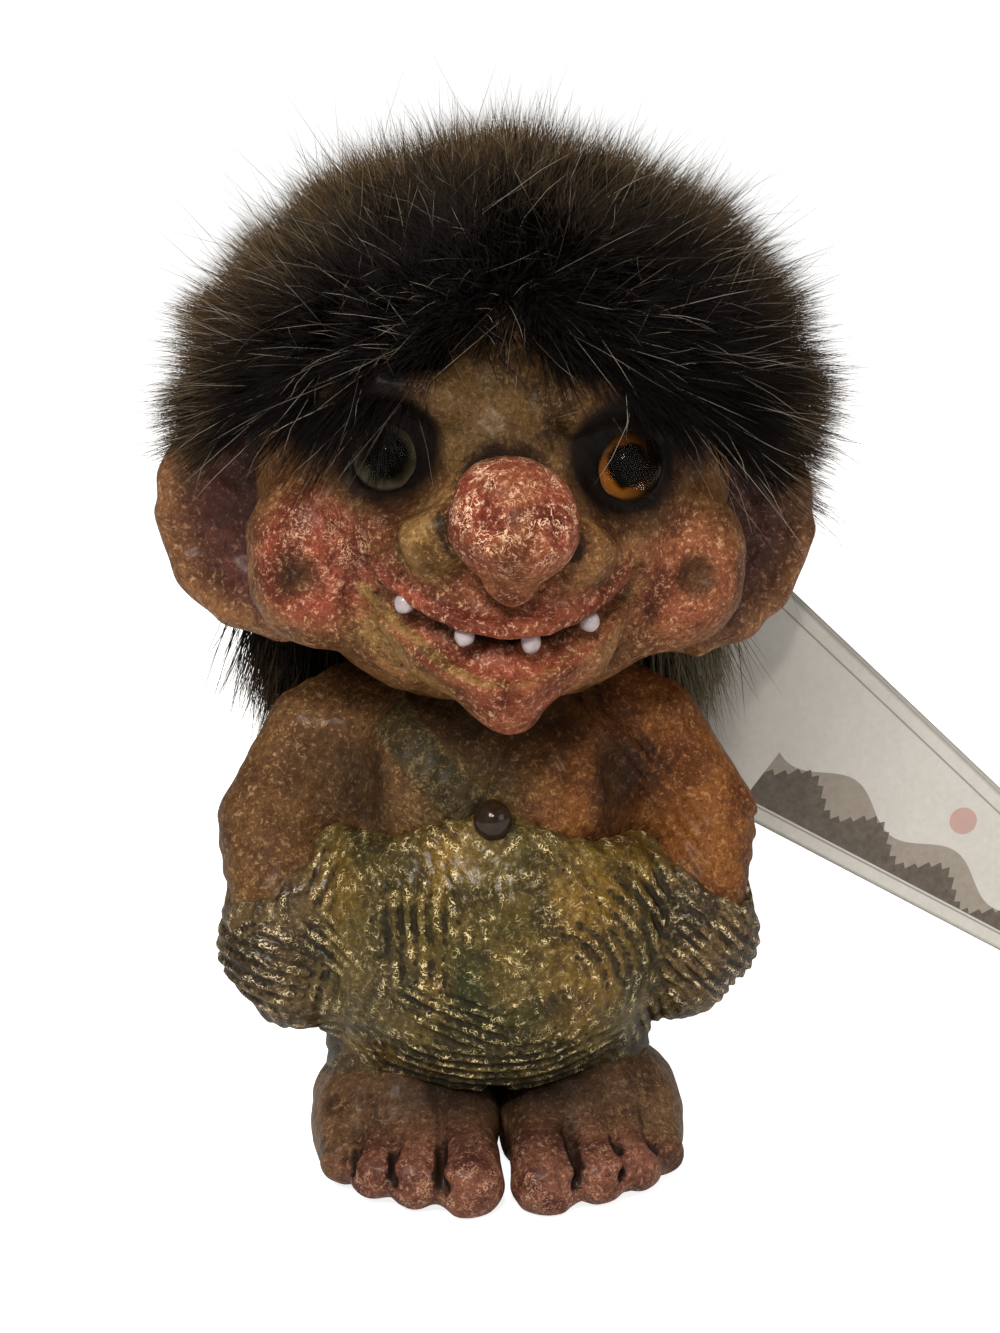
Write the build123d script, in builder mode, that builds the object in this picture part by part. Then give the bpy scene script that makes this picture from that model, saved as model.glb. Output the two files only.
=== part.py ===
from build123d import *
import os
from math import asin, cos, degrees, sin, radians

# A small troll figure: a painted rubber casting with glass eyes, bead teeth, a fur wig and a
# folded card tag. It faces -Y, +Z is up, and the origin lies on the floor where the feet meet.
# Left and right are the viewer's, so left is -X.

os.makedirs("parts", exist_ok=True)

# Skull, the round middle of the head. The head leans a little to the viewer's right. The head's
# height and the body's main sizes are shares of the skull's radius.
skull_radius = 31.0
head_height_share = 2.9677
head_roll_angle = 3.0
skin_thickness = 3.5

# Face. Places are shares of the skull's radius: across, back and up from its middle.
jaw_radius_share = 0.27419
jaw_place_share = (0.516, -0.613, -0.290)
chin_radius_share = 0.16774
chin_place_share = (0.019, -0.977, -0.671)
mouth_radius_share = 0.33871
mouth_place_share = (0.290, -1.106, -0.258)
muzzle_radius_share = 0.27419
muzzle_place_share = (0.274, -0.855, -0.161)
upper_lip_radius = 2.0
upper_lip_corner_share = (0.500, -0.961, -0.181)
upper_lip_middle_share = (0, -1.171, -0.365)
lower_lip_radius = 1.9
lower_lip_corner_share = (0.610, -0.829, -0.216)
lower_lip_middle_share = (0, -1.123, -0.626)
nose_radius = 7.4
nose_place_share = (0, -1.245, 0.055)
nose_tip_radius = 4.3
nose_tip_place_share = (0, -1.235, -0.148)
nose_bridge_radius = 5.2
nose_bridge_place_share = (0, -1.048, 0.194)
forehead_radius = 6.5
forehead_place_share = (0, -0.806, 0.613)
nostril_radius = 4.3
nostril_place_share = (0.303, -1.065, -0.097)
cheek_radius_share = 0.32258
cheek_place_share = (0.768, -0.506, -0.258)
dimple_radius = 1.8
dimple_depth = 2.0
dimple_place_share = (0.839, -0.800, -0.323)
brow_inner_radius = 4.6
brow_inner_place_share = (0.274, -0.887, 0.419)
brow_outer_radius = 3.4
brow_outer_place_share = (0.677, -0.645, 0.403)
socket_radius = 6.2
socket_place_share = (0.484, -0.955, 0.187)

# Glass eyes: a clear dome on a painted iris, with a wire loop behind.
eye_radius = 4.3
eye_place_share = (0.484, -0.755, 0.187)
iris_thickness = 0.6
pupil_radius = 2.0
wire_radius = 0.45
wire_loop_radius = 1.5
wire_length = 5.0
wire_pocket_clearance = 0.2

# Teeth, four beads under the upper lip, placed as shares of its half width.
tooth_radius = 1.2
tooth_height = 3.2
tooth_drop = 2.7
tooth_place_shares = (-0.80, -0.33, 0.19, 0.66)

# Ears, round dishes behind the cheeks.
ear_radius_share = 0.542
ear_half_thickness = 4.5
ear_place_share = (0.884, 0.065, -0.210)
ear_facing_share = (0.30, -1, 0)
ear_dish_radius = 13.0
ear_dish_depth = 3.6

# Wig: a pelt backing glued to the scalp, the body of the fur that stands on it, and a lock
# that hangs behind each ear.
backing_thickness = 1.2
fur_radius_share = 1.3
fur_place_share = (0.032, 0.097, 0.145)
hairline_front_share = (-0.787, 0.590)
hairline_back_share = (0.787, -0.459)
face_window_radius_share = 2.0484
face_window_place_share = (0, -2.258, -0.806)
lock_root_radius = 8.0
lock_root_place_share = (0.774, 0.258, -0.400)
lock_tip_radius = 4.0
lock_tip_place_share = (0.790, 0.390, -1.130)

# Belly, the round middle of the trousers. Body places are shares of the belly's radius.
belly_radius_share = 0.82258
belly_height_share = 1.08065
belly_place_share = (0, -0.137, 0)
body_shift = -1.0
waist_rise = 16.5
pocket_radius = 9.5
pocket_top_place_share = (1.078, -0.216, -0.039)
pocket_bottom_place_share = (1.118, -0.255, -0.275)
thigh_radius = 11.2
thigh_place_share = (0.451, -0.098, -0.529)
shin_radius = 10.0
shin_place_share = (0.459, -0.118, -1.000)
hem_height = 8.5

# Torso and arms. The hands are in the pockets.
chest_radius_share = 0.82353
chest_place_share = (0, 0.020, 0.569)
shoulder_radius = 9.5
shoulder_place_share = (0.651, 0.039, 0.882)
elbow_radius = 7.8
elbow_place_share = (1.118, -0.020, 0.333)
wrist_radius = 6.5
wrist_place_share = (1.059, -0.353, 0.098)

# Shoulder strap and trouser button.
strap_width = 6.5
strap_thickness = 0.9
strap_top_share = (-0.530, 1.170)
strap_bottom_share = (-0.020, 0.620)
button_radius = 2.5
button_height = 6.3
button_place_share = (-0.020, -0.882, 0.678)

# Feet, each with four toes. Foot places are shares of the foot's half length.
foot_half_length_share = 0.64516
heel_radius = 9.0
heel_place_share = (0.565, 0.125, 0.150)
instep_radius = 12.5
instep_place_share = (0.590, -0.650, 0.025)
big_toe_radius = 3.8
toe_length = 5.5
toe_tip_size_share = 0.92
toe_rise_share = 0.85
toe_size_shares = (1, 0.80, 0.76, 0.70)
toe_root_place_shares = ((0.270, -1.050), (0.545, -1.080), (0.790, -1.020), (1.010, -0.920))

# Filling of the body and the dowel that joins it to the head.
body_core_radius = 12.0
body_core_bottom_share = 0.4839
body_core_top_share = 1.8387
dowel_radius = 2.5
dowel_bottom_share = 1.4194
dowel_length_share = 1.0323

# Tag, a folded card that turns on a pin at the nape. The pin's place is in shares of the right
# shoulder's radius from its middle. The card's own sizes run along it from the pin and across it;
# its fold is the upper edge.
tag_pin_radius = 0.8
tag_pin_across_share = 0.042
tag_pin_rise_share = 0.738
tag_pin_seat_depth = 3.0
tag_pin_collar_radius = 1.7
tag_pin_collar_length = 1.0
tag_pin_head_radius = 2.2
tag_pin_head_thickness = 0.6
tag_hole_clearance = 0.06
tag_face_clearance = 0.06
tag_angle = -36.4
tag_back_share = 0.60645
card_thickness = 0.35
card_gap = 0.3
tag_length = 76.0
tag_shoulder_length = 10.0
tag_top_length = 3.0
tag_top_half_width = 3.5
tag_shoulder_half_width = 16.7
tag_end_half_width = 8.2
tag_middle_above_pin = 6.7
tag_back_leaf_proud = 0.5

# Cutting tools reach this far past what they cut.
overrun = 60.0

# Sizes that follow the skull.
head_height = skull_radius * head_height_share
ear_radius = skull_radius * ear_radius_share
fur_radius = skull_radius * fur_radius_share
face_window_radius = skull_radius * face_window_radius_share
jaw_radius = skull_radius * jaw_radius_share
cheek_radius = skull_radius * cheek_radius_share
muzzle_radius = skull_radius * muzzle_radius_share
mouth_radius = skull_radius * mouth_radius_share
chin_radius = skull_radius * chin_radius_share
belly_radius = skull_radius * belly_radius_share
belly_height = skull_radius * belly_height_share
chest_radius = belly_radius * chest_radius_share
foot_half_length = skull_radius * foot_half_length_share
body_core_bottom_height = skull_radius * body_core_bottom_share
body_core_top_height = skull_radius * body_core_top_share
dowel_bottom_height = skull_radius * dowel_bottom_share
dowel_length = skull_radius * dowel_length_share
tag_back = skull_radius * tag_back_share

# Frames: the head's at the middle of the skull, the body's at the height of the belly.
head_frame = Plane(origin=(0, 0, head_height)).rotated((0, head_roll_angle, 0))
body_frame = Plane(origin=(body_shift, 0, belly_height))
floor_frame = Plane.XY
SIDES = (("left", -1), ("right", 1))
ACROSS = Vector(1, 0, 0)
BACK = Vector(0, 1, 0)
UP = Vector(0, 0, 1)

# The pin runs from the tag forward into the back of the right shoulder's ball.
shoulder_across, shoulder_back, shoulder_up = (share * belly_radius for share in shoulder_place_share)
tag_pin_right = body_shift + shoulder_across + shoulder_radius * tag_pin_across_share
tag_pin_height = belly_height + shoulder_up + shoulder_radius * tag_pin_rise_share
pin_depth_share = (1 - tag_pin_across_share**2 - tag_pin_rise_share**2) ** 0.5
shoulder_back_at_pin = shoulder_back + shoulder_radius * pin_depth_share
tag_pin_reach = tag_back - shoulder_back_at_pin + tag_pin_seat_depth


def on_skull(share, side=1):
    """A place in the head's frame, from shares of the skull's radius."""
    return Vector(side * share[0], share[1], share[2]) * skull_radius


def on_body(share, side=1):
    """A place in the body's frame, from shares of the belly's radius."""
    return Vector(side * share[0], share[1], share[2]) * belly_radius


def on_foot(share, side=1):
    """A place in the floor's frame, from shares of the foot's half length."""
    return Vector(side * share[0], share[1], share[2]) * foot_half_length


def ball(frame, centre, radius, mode=Mode.ADD):
    """A ball whose centre is given in the frame."""
    with Locations(frame.from_local_coords(centre)):
        Sphere(radius, mode=mode)


def limb(frame, start, end, start_radius, end_radius, mode=Mode.ADD):
    """Two balls joined by the cone that touches both, turned in one piece about their line."""
    root, tip = frame.from_local_coords(start), frame.from_local_coords(end)
    length = (tip - root).length
    touch = asin((start_radius - end_radius) / length)
    across = Plane(origin=root, z_dir=tip - root).x_dir
    section = Plane(root, x_dir=tip - root, z_dir=(tip - root).cross(across))
    on_start = (start_radius * sin(touch), start_radius * cos(touch))
    on_end = (length + end_radius * sin(touch), end_radius * cos(touch))
    turn = degrees(touch)
    with BuildSketch(section) as profile:
        with BuildLine():
            start_cap = CenterArc((0, 0), start_radius, 180, -90 - turn)
            Line(on_start, on_end)
            end_cap = CenterArc((length, 0), end_radius, 90 - turn, turn - 90)
            Line(end_cap @ 1, start_cap @ 0)
        make_face()
    revolve(profile.sketch, axis=Axis(root, tip - root), mode=mode)


def rod(frame, corner, middle, radius):
    """A round bar bent in one arc from the left corner through the middle to the right one."""
    left = Vector(-corner.X, corner.Y, corner.Z)
    with BuildLine() as path:
        ThreePointArc(*[frame.from_local_coords(p) for p in (left, middle, corner)])
    with BuildSketch(Plane(path.line @ 0, z_dir=path.line % 0)) as section:
        Circle(radius)
    sweep(section.sketch, path=path.line)


def skull(grow, mode=Mode.ADD):
    """The skull's ball, grown or shrunk by a thickness."""
    ball(head_frame, Vector(), skull_radius + grow, mode)


def cheek(side, mode=Mode.ADD):
    """A cheek's ball."""
    ball(head_frame, on_skull(cheek_place_share, side), cheek_radius, mode)


def brow(side, mode=Mode.ADD):
    """The ridge over an eye."""
    inner = on_skull(brow_inner_place_share, side)
    outer = on_skull(brow_outer_place_share, side)
    limb(head_frame, inner, outer, brow_inner_radius, brow_outer_radius, mode)


def forehead(mode=Mode.ADD):
    """The forehead's ridge, which runs down to the bridge of the nose."""
    top = on_skull(forehead_place_share)
    bridge = on_skull(nose_bridge_place_share)
    limb(head_frame, top, bridge, forehead_radius, nose_bridge_radius, mode)


def jaw(side, mode=Mode.ADD):
    """One side of the jaw, from the mouth's corner to the chin."""
    corner = on_skull(jaw_place_share, side)
    limb(head_frame, corner, on_skull(chin_place_share), jaw_radius, chin_radius, mode)


def across_head(share, radius, mode=Mode.ADD):
    """A round-ended bar across the head, between a place and its mirror image."""
    limb(head_frame, on_skull(share, -1), on_skull(share), radius, radius, mode)


def eye_plane(side, back):
    """The plane square to an eye's sight line, a distance behind the flat of its dome."""
    eye = on_skull(eye_place_share, side) + BACK * back
    return Plane(head_frame.from_local_coords(eye), x_dir=head_frame.x_dir, z_dir=BACK)


def eye_seat(side):
    """Cut an eye's seat, and behind it the bore that takes its wire loop."""
    with BuildSketch(eye_plane(side, iris_thickness)) as seat:
        Circle(eye_radius)
    extrude(seat.sketch, amount=-iris_thickness - eye_radius, mode=Mode.SUBTRACT)
    with BuildSketch(eye_plane(side, iris_thickness)) as bore:
        Circle(wire_loop_radius + wire_radius + wire_pocket_clearance)
    extrude(bore.sketch, amount=wire_length + 2 * wire_loop_radius, mode=Mode.SUBTRACT)


def ear_facing(side):
    """The way an ear's dish faces, in the head's frame."""
    return Vector(side * ear_facing_share[0], *ear_facing_share[1:]).normalized()


def dowel(mode=Mode.ADD):
    """The wooden dowel that joins the head and the body."""
    with BuildSketch(Plane.XY.offset(dowel_bottom_height)) as section:
        Circle(dowel_radius)
    extrude(section.sketch, amount=dowel_length, mode=mode)


def filling(mode=Mode.ADD):
    """The round-ended bar of the body's filling."""
    bottom = Vector(0, 0, body_core_bottom_height + body_core_radius)
    top = Vector(0, 0, body_core_top_height - body_core_radius)
    limb(floor_frame, bottom, top, body_core_radius, body_core_radius, mode)


def chest(grow, mode=Mode.ADD):
    """The chest's ball, grown by a thickness."""
    ball(body_frame, on_body(chest_place_share), chest_radius + grow, mode)


def pin_shank(mode=Mode.ADD):
    """The pin's shank, from the tag to its seat."""
    with BuildSketch(Plane.XZ.offset(-tag_back)) as section:
        with Locations((tag_pin_right, tag_pin_height)):
            Circle(tag_pin_radius)
    extrude(section.sketch, amount=tag_pin_reach, mode=mode)


# The filling of the head fits the hollow of its skin, with bores for the dowel and the eyes.
with BuildPart() as head_core:
    skull(-skin_thickness)
    dowel(Mode.SUBTRACT)
    for _, side in SIDES:
        eye_seat(side)
head_core.part.label = "head_core"
export_step(head_core.part, "parts/head_core.step")

# The head's skin, with the whole face. The mouth is cut before the muzzle and lips go on.
with BuildPart() as head:
    skull(0)
    for _, side in SIDES:
        jaw(side)
        cheek(side)
    across_head(mouth_place_share, mouth_radius, Mode.SUBTRACT)
    across_head(muzzle_place_share, muzzle_radius)
    rod(
        head_frame,
        on_skull(upper_lip_corner_share),
        on_skull(upper_lip_middle_share),
        upper_lip_radius,
    )
    rod(
        head_frame,
        on_skull(lower_lip_corner_share),
        on_skull(lower_lip_middle_share),
        lower_lip_radius,
    )
    forehead()
    limb(
        head_frame,
        on_skull(nose_place_share),
        on_skull(nose_tip_place_share),
        nose_radius,
        nose_tip_radius,
    )
    for _, side in SIDES:
        ball(head_frame, on_skull(nostril_place_share, side), nostril_radius)
        brow(side)
        socket = on_skull(socket_place_share, side)
        ball(head_frame, socket, socket_radius, Mode.SUBTRACT)
        pit = head_frame.from_local_coords(on_skull(dimple_place_share, side))
        with BuildSketch(Plane(pit, x_dir=ACROSS, z_dir=BACK)) as dimple:
            Circle(dimple_radius)
        extrude(dimple.sketch, amount=dimple_depth, both=True, mode=Mode.SUBTRACT)
        eye_seat(side)
    skull(-skin_thickness, Mode.SUBTRACT)
    dowel(Mode.SUBTRACT)
head.part.label = "head"
export_step(head.part, "parts/head.step")

# Glass eyes, each a clear half ball, an iris ring, a pupil disc and a wire loop.
for name, side in SIDES:
    with BuildPart() as eye_glass:
        ball(head_frame, on_skull(eye_place_share, side), eye_radius)
        split(bisect_by=eye_plane(side, 0), keep=Keep.BOTTOM)
    eye_glass.part.label = f"{name}_eye_glass"
    export_step(eye_glass.part, f"parts/{name}_eye_glass.step")

    with BuildPart() as eye_iris:
        with BuildSketch(eye_plane(side, 0)):
            Circle(eye_radius)
            Circle(pupil_radius, mode=Mode.SUBTRACT)
        extrude(amount=iris_thickness)
    eye_iris.part.label = f"{name}_eye_iris"
    export_step(eye_iris.part, f"parts/{name}_eye_iris.step")

    with BuildPart() as eye_pupil:
        with BuildSketch(eye_plane(side, 0)):
            Circle(pupil_radius)
        extrude(amount=iris_thickness)
    eye_pupil.part.label = f"{name}_eye_pupil"
    export_step(eye_pupil.part, f"parts/{name}_eye_pupil.step")

    with BuildPart() as eye_wire:
        with BuildSketch(eye_plane(side, iris_thickness)):
            Circle(wire_radius)
        extrude(amount=wire_length)
        loop_plane = eye_plane(side, iris_thickness + wire_length)
        with Locations(loop_plane.location * Rotation(0, 90, 0)):
            Torus(wire_loop_radius, wire_radius)
    eye_wire.part.label = f"{name}_eye_wire"
    export_step(eye_wire.part, f"parts/{name}_eye_wire.step")

# Teeth hang from the upper lip, whose middle line falls away as a bow from its corners.
lip_corner = on_skull(upper_lip_corner_share)
lip_middle = on_skull(upper_lip_middle_share)
for number, share in enumerate(tooth_place_shares, start=1):
    on_lip = lip_middle + (lip_corner - lip_middle) * share**2
    tooth_middle = Vector(lip_corner.X * share, on_lip.Y, on_lip.Z - tooth_drop)
    half_core = UP * (tooth_height / 2 - tooth_radius)
    with BuildPart() as tooth:
        limb(
            head_frame,
            tooth_middle - half_core,
            tooth_middle + half_core,
            tooth_radius,
            tooth_radius,
        )
        add(head.part, mode=Mode.SUBTRACT)
    tooth.part.label = f"tooth_{number}"
    export_step(tooth.part, f"parts/tooth_{number}.step")

# Ears, each what two large balls share, dished by a third and cut where the head is.
ear_ball_radius = (ear_radius**2 + ear_half_thickness**2) / (2 * ear_half_thickness)
dish_ball_radius = (ear_dish_radius**2 + ear_dish_depth**2) / (2 * ear_dish_depth)
ear_forms = []
for name, side in SIDES:
    ear_middle = on_skull(ear_place_share, side)
    step = ear_facing(side) * (ear_ball_radius - ear_half_thickness)
    dish_step = ear_facing(side) * (dish_ball_radius - ear_dish_depth + ear_half_thickness)
    with BuildPart() as ear_form:
        ball(head_frame, ear_middle + step, ear_ball_radius)
        ball(head_frame, ear_middle - step, ear_ball_radius, Mode.INTERSECT)
    ear_forms.append(ear_form.part)
    with BuildPart() as ear:
        add(ear_form.part)
        ball(head_frame, ear_middle + dish_step, dish_ball_radius, Mode.SUBTRACT)
        skull(0, Mode.SUBTRACT)
        cheek(side, Mode.SUBTRACT)
    ear.part.label = f"{name}_ear"
    export_step(ear.part, f"parts/{name}_ear.step")

# The filling of the body.
with BuildPart() as body_core:
    filling()
    dowel(Mode.SUBTRACT)
body_core.part.label = "body_core"
export_step(body_core.part, "parts/body_core.step")

with BuildPart() as neck_dowel:
    dowel()
neck_dowel.part.label = "neck_dowel"
export_step(neck_dowel.part, "parts/neck_dowel.step")

# Trousers: belly, two stuffed pockets and two short legs, flat at the waist and the hems.
with BuildPart() as trousers:
    ball(body_frame, on_body(belly_place_share), belly_radius)
    for _, side in SIDES:
        limb(
            body_frame,
            on_body(pocket_top_place_share, side),
            on_body(pocket_bottom_place_share, side),
            pocket_radius,
            pocket_radius,
        )
        limb(
            body_frame,
            on_body(thigh_place_share, side),
            on_body(shin_place_share, side),
            thigh_radius,
            shin_radius,
        )
    split(bisect_by=body_frame.offset(waist_rise), keep=Keep.BOTTOM)
    split(bisect_by=floor_frame.offset(hem_height), keep=Keep.TOP)
    filling(Mode.SUBTRACT)
trousers.part.label = "trousers"
export_step(trousers.part, "parts/trousers.step")

# Torso: chest, shoulders and arms, cut where the head, the trousers and the filling are.
with BuildPart() as torso:
    chest(0)
    for _, side in SIDES:
        limb(
            body_frame,
            on_body(shoulder_place_share, side),
            on_body(elbow_place_share, side),
            shoulder_radius,
            elbow_radius,
        )
        limb(
            body_frame,
            on_body(elbow_place_share, side),
            on_body(wrist_place_share, side),
            elbow_radius,
            wrist_radius,
        )
    filling(Mode.SUBTRACT)
    add(trousers.part, mode=Mode.SUBTRACT)
    skull(0, Mode.SUBTRACT)
    for _, side in SIDES:
        jaw(side, Mode.SUBTRACT)
    dowel(Mode.SUBTRACT)
    pin_shank(Mode.SUBTRACT)
torso.part.label = "torso"
export_step(torso.part, "parts/torso.step")

# Trouser button, an oval dome on the front of the waist.
with BuildPart() as trouser_button:
    button_middle = on_body(button_place_share)
    half_core = UP * (button_height / 2 - button_radius)
    limb(
        body_frame,
        button_middle - half_core,
        button_middle + half_core,
        button_radius,
        button_radius,
    )
    add(torso.part, mode=Mode.SUBTRACT)
    add(trousers.part, mode=Mode.SUBTRACT)
trouser_button.part.label = "trouser_button"
export_step(trouser_button.part, "parts/trouser_button.step")

# Shoulder strap, a band that lies on the chest from the shoulder to the button.
with BuildPart() as shoulder_strap:
    chest(strap_thickness)
    with BuildSketch(Plane(body_frame.origin, x_dir=ACROSS, z_dir=-BACK)):
        with BuildLine():
            run = Line(
                Vector(*strap_top_share) * belly_radius,
                Vector(*strap_bottom_share) * belly_radius,
            )
        trace(run, line_width=strap_width)
    extrude(amount=overrun, mode=Mode.INTERSECT)
    chest(0, Mode.SUBTRACT)
    add(torso.part, mode=Mode.SUBTRACT)
    add(trousers.part, mode=Mode.SUBTRACT)
    skull(0, Mode.SUBTRACT)
    jaw(-1, Mode.SUBTRACT)
    add(trouser_button.part, mode=Mode.SUBTRACT)
shoulder_strap.part.label = "shoulder_strap"
export_step(shoulder_strap.part, "parts/shoulder_strap.step")

# Feet, flat below and face to face between, with four toes each.
for name, side in SIDES:
    with BuildPart() as foot:
        limb(
            floor_frame,
            on_foot(instep_place_share, side),
            on_foot(heel_place_share, side),
            instep_radius,
            heel_radius,
        )
        for size_share, root_share in zip(toe_size_shares, toe_root_place_shares):
            toe_radius = big_toe_radius * size_share
            root = on_foot((*root_share, 0), side) + UP * toe_radius * toe_rise_share
            tip = root - BACK * toe_length
            limb(floor_frame, root, tip, toe_radius, toe_radius * toe_tip_size_share)
        split(bisect_by=floor_frame, keep=Keep.TOP)
        split(bisect_by=Plane.YZ, keep=Keep.TOP if side > 0 else Keep.BOTTOM)
        add(trousers.part, mode=Mode.SUBTRACT)
    foot.part.label = f"{name}_foot"
    export_step(foot.part, f"parts/{name}_foot.step")


def trim_to_scalp():
    """Cut away what lies in front of the face or below the hairline, which falls to the back."""
    front = Vector(0, *hairline_front_share) * skull_radius
    back = Vector(0, *hairline_back_share) * skull_radius
    start, end = head_frame.from_local_coords(front), head_frame.from_local_coords(back)
    below = Plane(start, x_dir=head_frame.x_dir, z_dir=head_frame.x_dir.cross(end - start))
    split(bisect_by=below, keep=Keep.TOP)
    window = on_skull(face_window_place_share)
    ball(head_frame, window, face_window_radius, Mode.SUBTRACT)


# Wig backing, a thin pelt on the scalp.
with BuildPart() as wig_backing:
    skull(backing_thickness)
    trim_to_scalp()
    skull(0, Mode.SUBTRACT)
    for ear_form in ear_forms:
        add(ear_form, mode=Mode.SUBTRACT)
    forehead(Mode.SUBTRACT)
    for _, side in SIDES:
        brow(side, Mode.SUBTRACT)
wig_backing.part.label = "wig_backing"
export_step(wig_backing.part, "parts/wig_backing.step")

# Body of the fur, a cap over the scalp.
with BuildPart() as wig_fur:
    ball(head_frame, on_skull(fur_place_share), fur_radius)
    trim_to_scalp()
    skull(backing_thickness, Mode.SUBTRACT)
    for ear_form in ear_forms:
        add(ear_form, mode=Mode.SUBTRACT)
    forehead(Mode.SUBTRACT)
    for _, side in SIDES:
        brow(side, Mode.SUBTRACT)
wig_fur.part.label = "wig_fur"
export_step(wig_fur.part, "parts/wig_fur.step")

# Locks of the fur that hang behind the ears to the shoulders.
for (name, side), ear_form in zip(SIDES, ear_forms):
    with BuildPart() as nape_lock:
        limb(
            head_frame,
            on_skull(lock_root_place_share, side),
            on_skull(lock_tip_place_share, side),
            lock_root_radius,
            lock_tip_radius,
        )
        skull(0, Mode.SUBTRACT)
        add(ear_form, mode=Mode.SUBTRACT)
        add(torso.part, mode=Mode.SUBTRACT)
        pin_shank(Mode.SUBTRACT)
    nape_lock.part.label = f"{name}_nape_lock"
    export_step(nape_lock.part, f"parts/{name}_nape_lock.step")

# The pin that carries the tag, pressed into the shoulder, with a collar before the card.
with BuildPart() as tag_pin:
    pin_shank()
    with BuildSketch(Plane.XZ.offset(-tag_back)):
        with Locations((tag_pin_right, tag_pin_height)):
            Circle(tag_pin_radius)
    extrude(amount=-tag_face_clearance - tag_pin_head_thickness)
    with BuildSketch(Plane.XZ.offset(-tag_back - tag_face_clearance)):
        with Locations((tag_pin_right, tag_pin_height)):
            Circle(tag_pin_head_radius)
    extrude(amount=-tag_pin_head_thickness)
    collar_back = tag_back - card_thickness - tag_face_clearance
    with BuildSketch(Plane.XZ.offset(-collar_back)):
        with Locations((tag_pin_right, tag_pin_height)):
            Circle(tag_pin_collar_radius)
    extrude(amount=tag_pin_collar_length)
tag_pin.part.label = "tag_pin"
export_step(tag_pin.part, "parts/tag_pin.step")

# Tag leaves, tapering to the far end. The front one has the pin's hole; the back one starts
# at the shoulders and opens backwards about the fold, the upper edge.
along_tag = Vector(cos(radians(tag_angle)), 0, sin(radians(tag_angle)))
tag_plane = Plane((tag_pin_right, tag_back, tag_pin_height), x_dir=along_tag, z_dir=-BACK)
with BuildPart() as tag_front_leaf:
    with BuildSketch(tag_plane):
        Polygon(
            (-tag_top_length, -tag_top_half_width),
            (tag_shoulder_length, tag_middle_above_pin - tag_shoulder_half_width),
            (tag_length, tag_middle_above_pin - tag_end_half_width),
            (tag_length, tag_middle_above_pin + tag_end_half_width),
            (tag_shoulder_length, tag_middle_above_pin + tag_shoulder_half_width),
            (-tag_top_length, tag_top_half_width),
            align=None,
        )
        Circle(tag_pin_radius + tag_hole_clearance, mode=Mode.SUBTRACT)
    extrude(amount=card_thickness)
tag_front_leaf.part.label = "tag_front_leaf"
export_step(tag_front_leaf.part, "parts/tag_front_leaf.step")

with BuildPart() as tag_back_leaf:
    with BuildSketch(tag_plane.offset(-card_gap)):
        with Locations((0, tag_middle_above_pin)):
            Polygon(
                (tag_shoulder_length, -tag_shoulder_half_width),
                (tag_length, -tag_end_half_width),
                (tag_length, tag_end_half_width + tag_back_leaf_proud),
                (tag_shoulder_length, tag_shoulder_half_width + tag_back_leaf_proud),
                align=None,
            )
    extrude(amount=-card_thickness)
tag_back_leaf.part.label = "tag_back_leaf"
export_step(tag_back_leaf.part, "parts/tag_back_leaf.step")
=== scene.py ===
import bpy
import numpy as np
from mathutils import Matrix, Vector


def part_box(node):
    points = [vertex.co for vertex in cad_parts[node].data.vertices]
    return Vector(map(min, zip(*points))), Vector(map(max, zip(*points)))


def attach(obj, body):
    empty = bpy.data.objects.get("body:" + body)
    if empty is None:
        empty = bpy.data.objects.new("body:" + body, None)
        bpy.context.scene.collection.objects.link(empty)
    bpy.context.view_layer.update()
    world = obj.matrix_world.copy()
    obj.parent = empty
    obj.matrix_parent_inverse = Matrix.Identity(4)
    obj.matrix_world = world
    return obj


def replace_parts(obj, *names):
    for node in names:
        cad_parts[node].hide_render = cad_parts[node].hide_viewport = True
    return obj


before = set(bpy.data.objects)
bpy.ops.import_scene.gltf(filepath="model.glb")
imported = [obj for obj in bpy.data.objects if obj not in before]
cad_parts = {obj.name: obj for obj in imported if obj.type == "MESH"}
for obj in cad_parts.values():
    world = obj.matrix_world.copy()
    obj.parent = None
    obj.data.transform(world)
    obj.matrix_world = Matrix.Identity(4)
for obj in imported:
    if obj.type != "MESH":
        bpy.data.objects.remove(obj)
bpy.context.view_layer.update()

# --- Camera, lamps and floor -----------------------------------------------------------------
# A long lens a little to the left and above, as the photograph was taken. The figure stands on
# white paper under three soft lamps and a small bright one that draws glints on the lacquer.
FIGURE_MIDDLE = Vector((0.001, 0.0, 0.06575))
CAMERA_DISTANCE = 0.4
sight = Vector((-0.06768, -0.96794, 0.24192)).normalized()
camera = bpy.data.objects.new("camera", bpy.data.cameras.new("camera"))
camera.data.lens = 80.75
camera.data.sensor_width = 36.0
camera.data.clip_start = 0.01
camera.location = FIGURE_MIDDLE + CAMERA_DISTANCE * sight
camera.rotation_euler = sight.to_track_quat("Z", "Y").to_euler()
bpy.context.scene.collection.objects.link(camera)
bpy.context.scene.camera = camera
bpy.context.scene.view_settings.view_transform = "Standard"


def lamp(name, place, size, power, tint):
    """A square lamp that looks at the figure's middle."""
    light = bpy.data.objects.new(name, bpy.data.lights.new(name, "AREA"))
    light.data.size = size
    light.data.energy = power
    light.data.color = tint
    light.location = place
    light.rotation_euler = (Vector(place) - Vector((0, 0, 0.07))).to_track_quat("Z", "Y").to_euler()
    bpy.context.scene.collection.objects.link(light)


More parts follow.
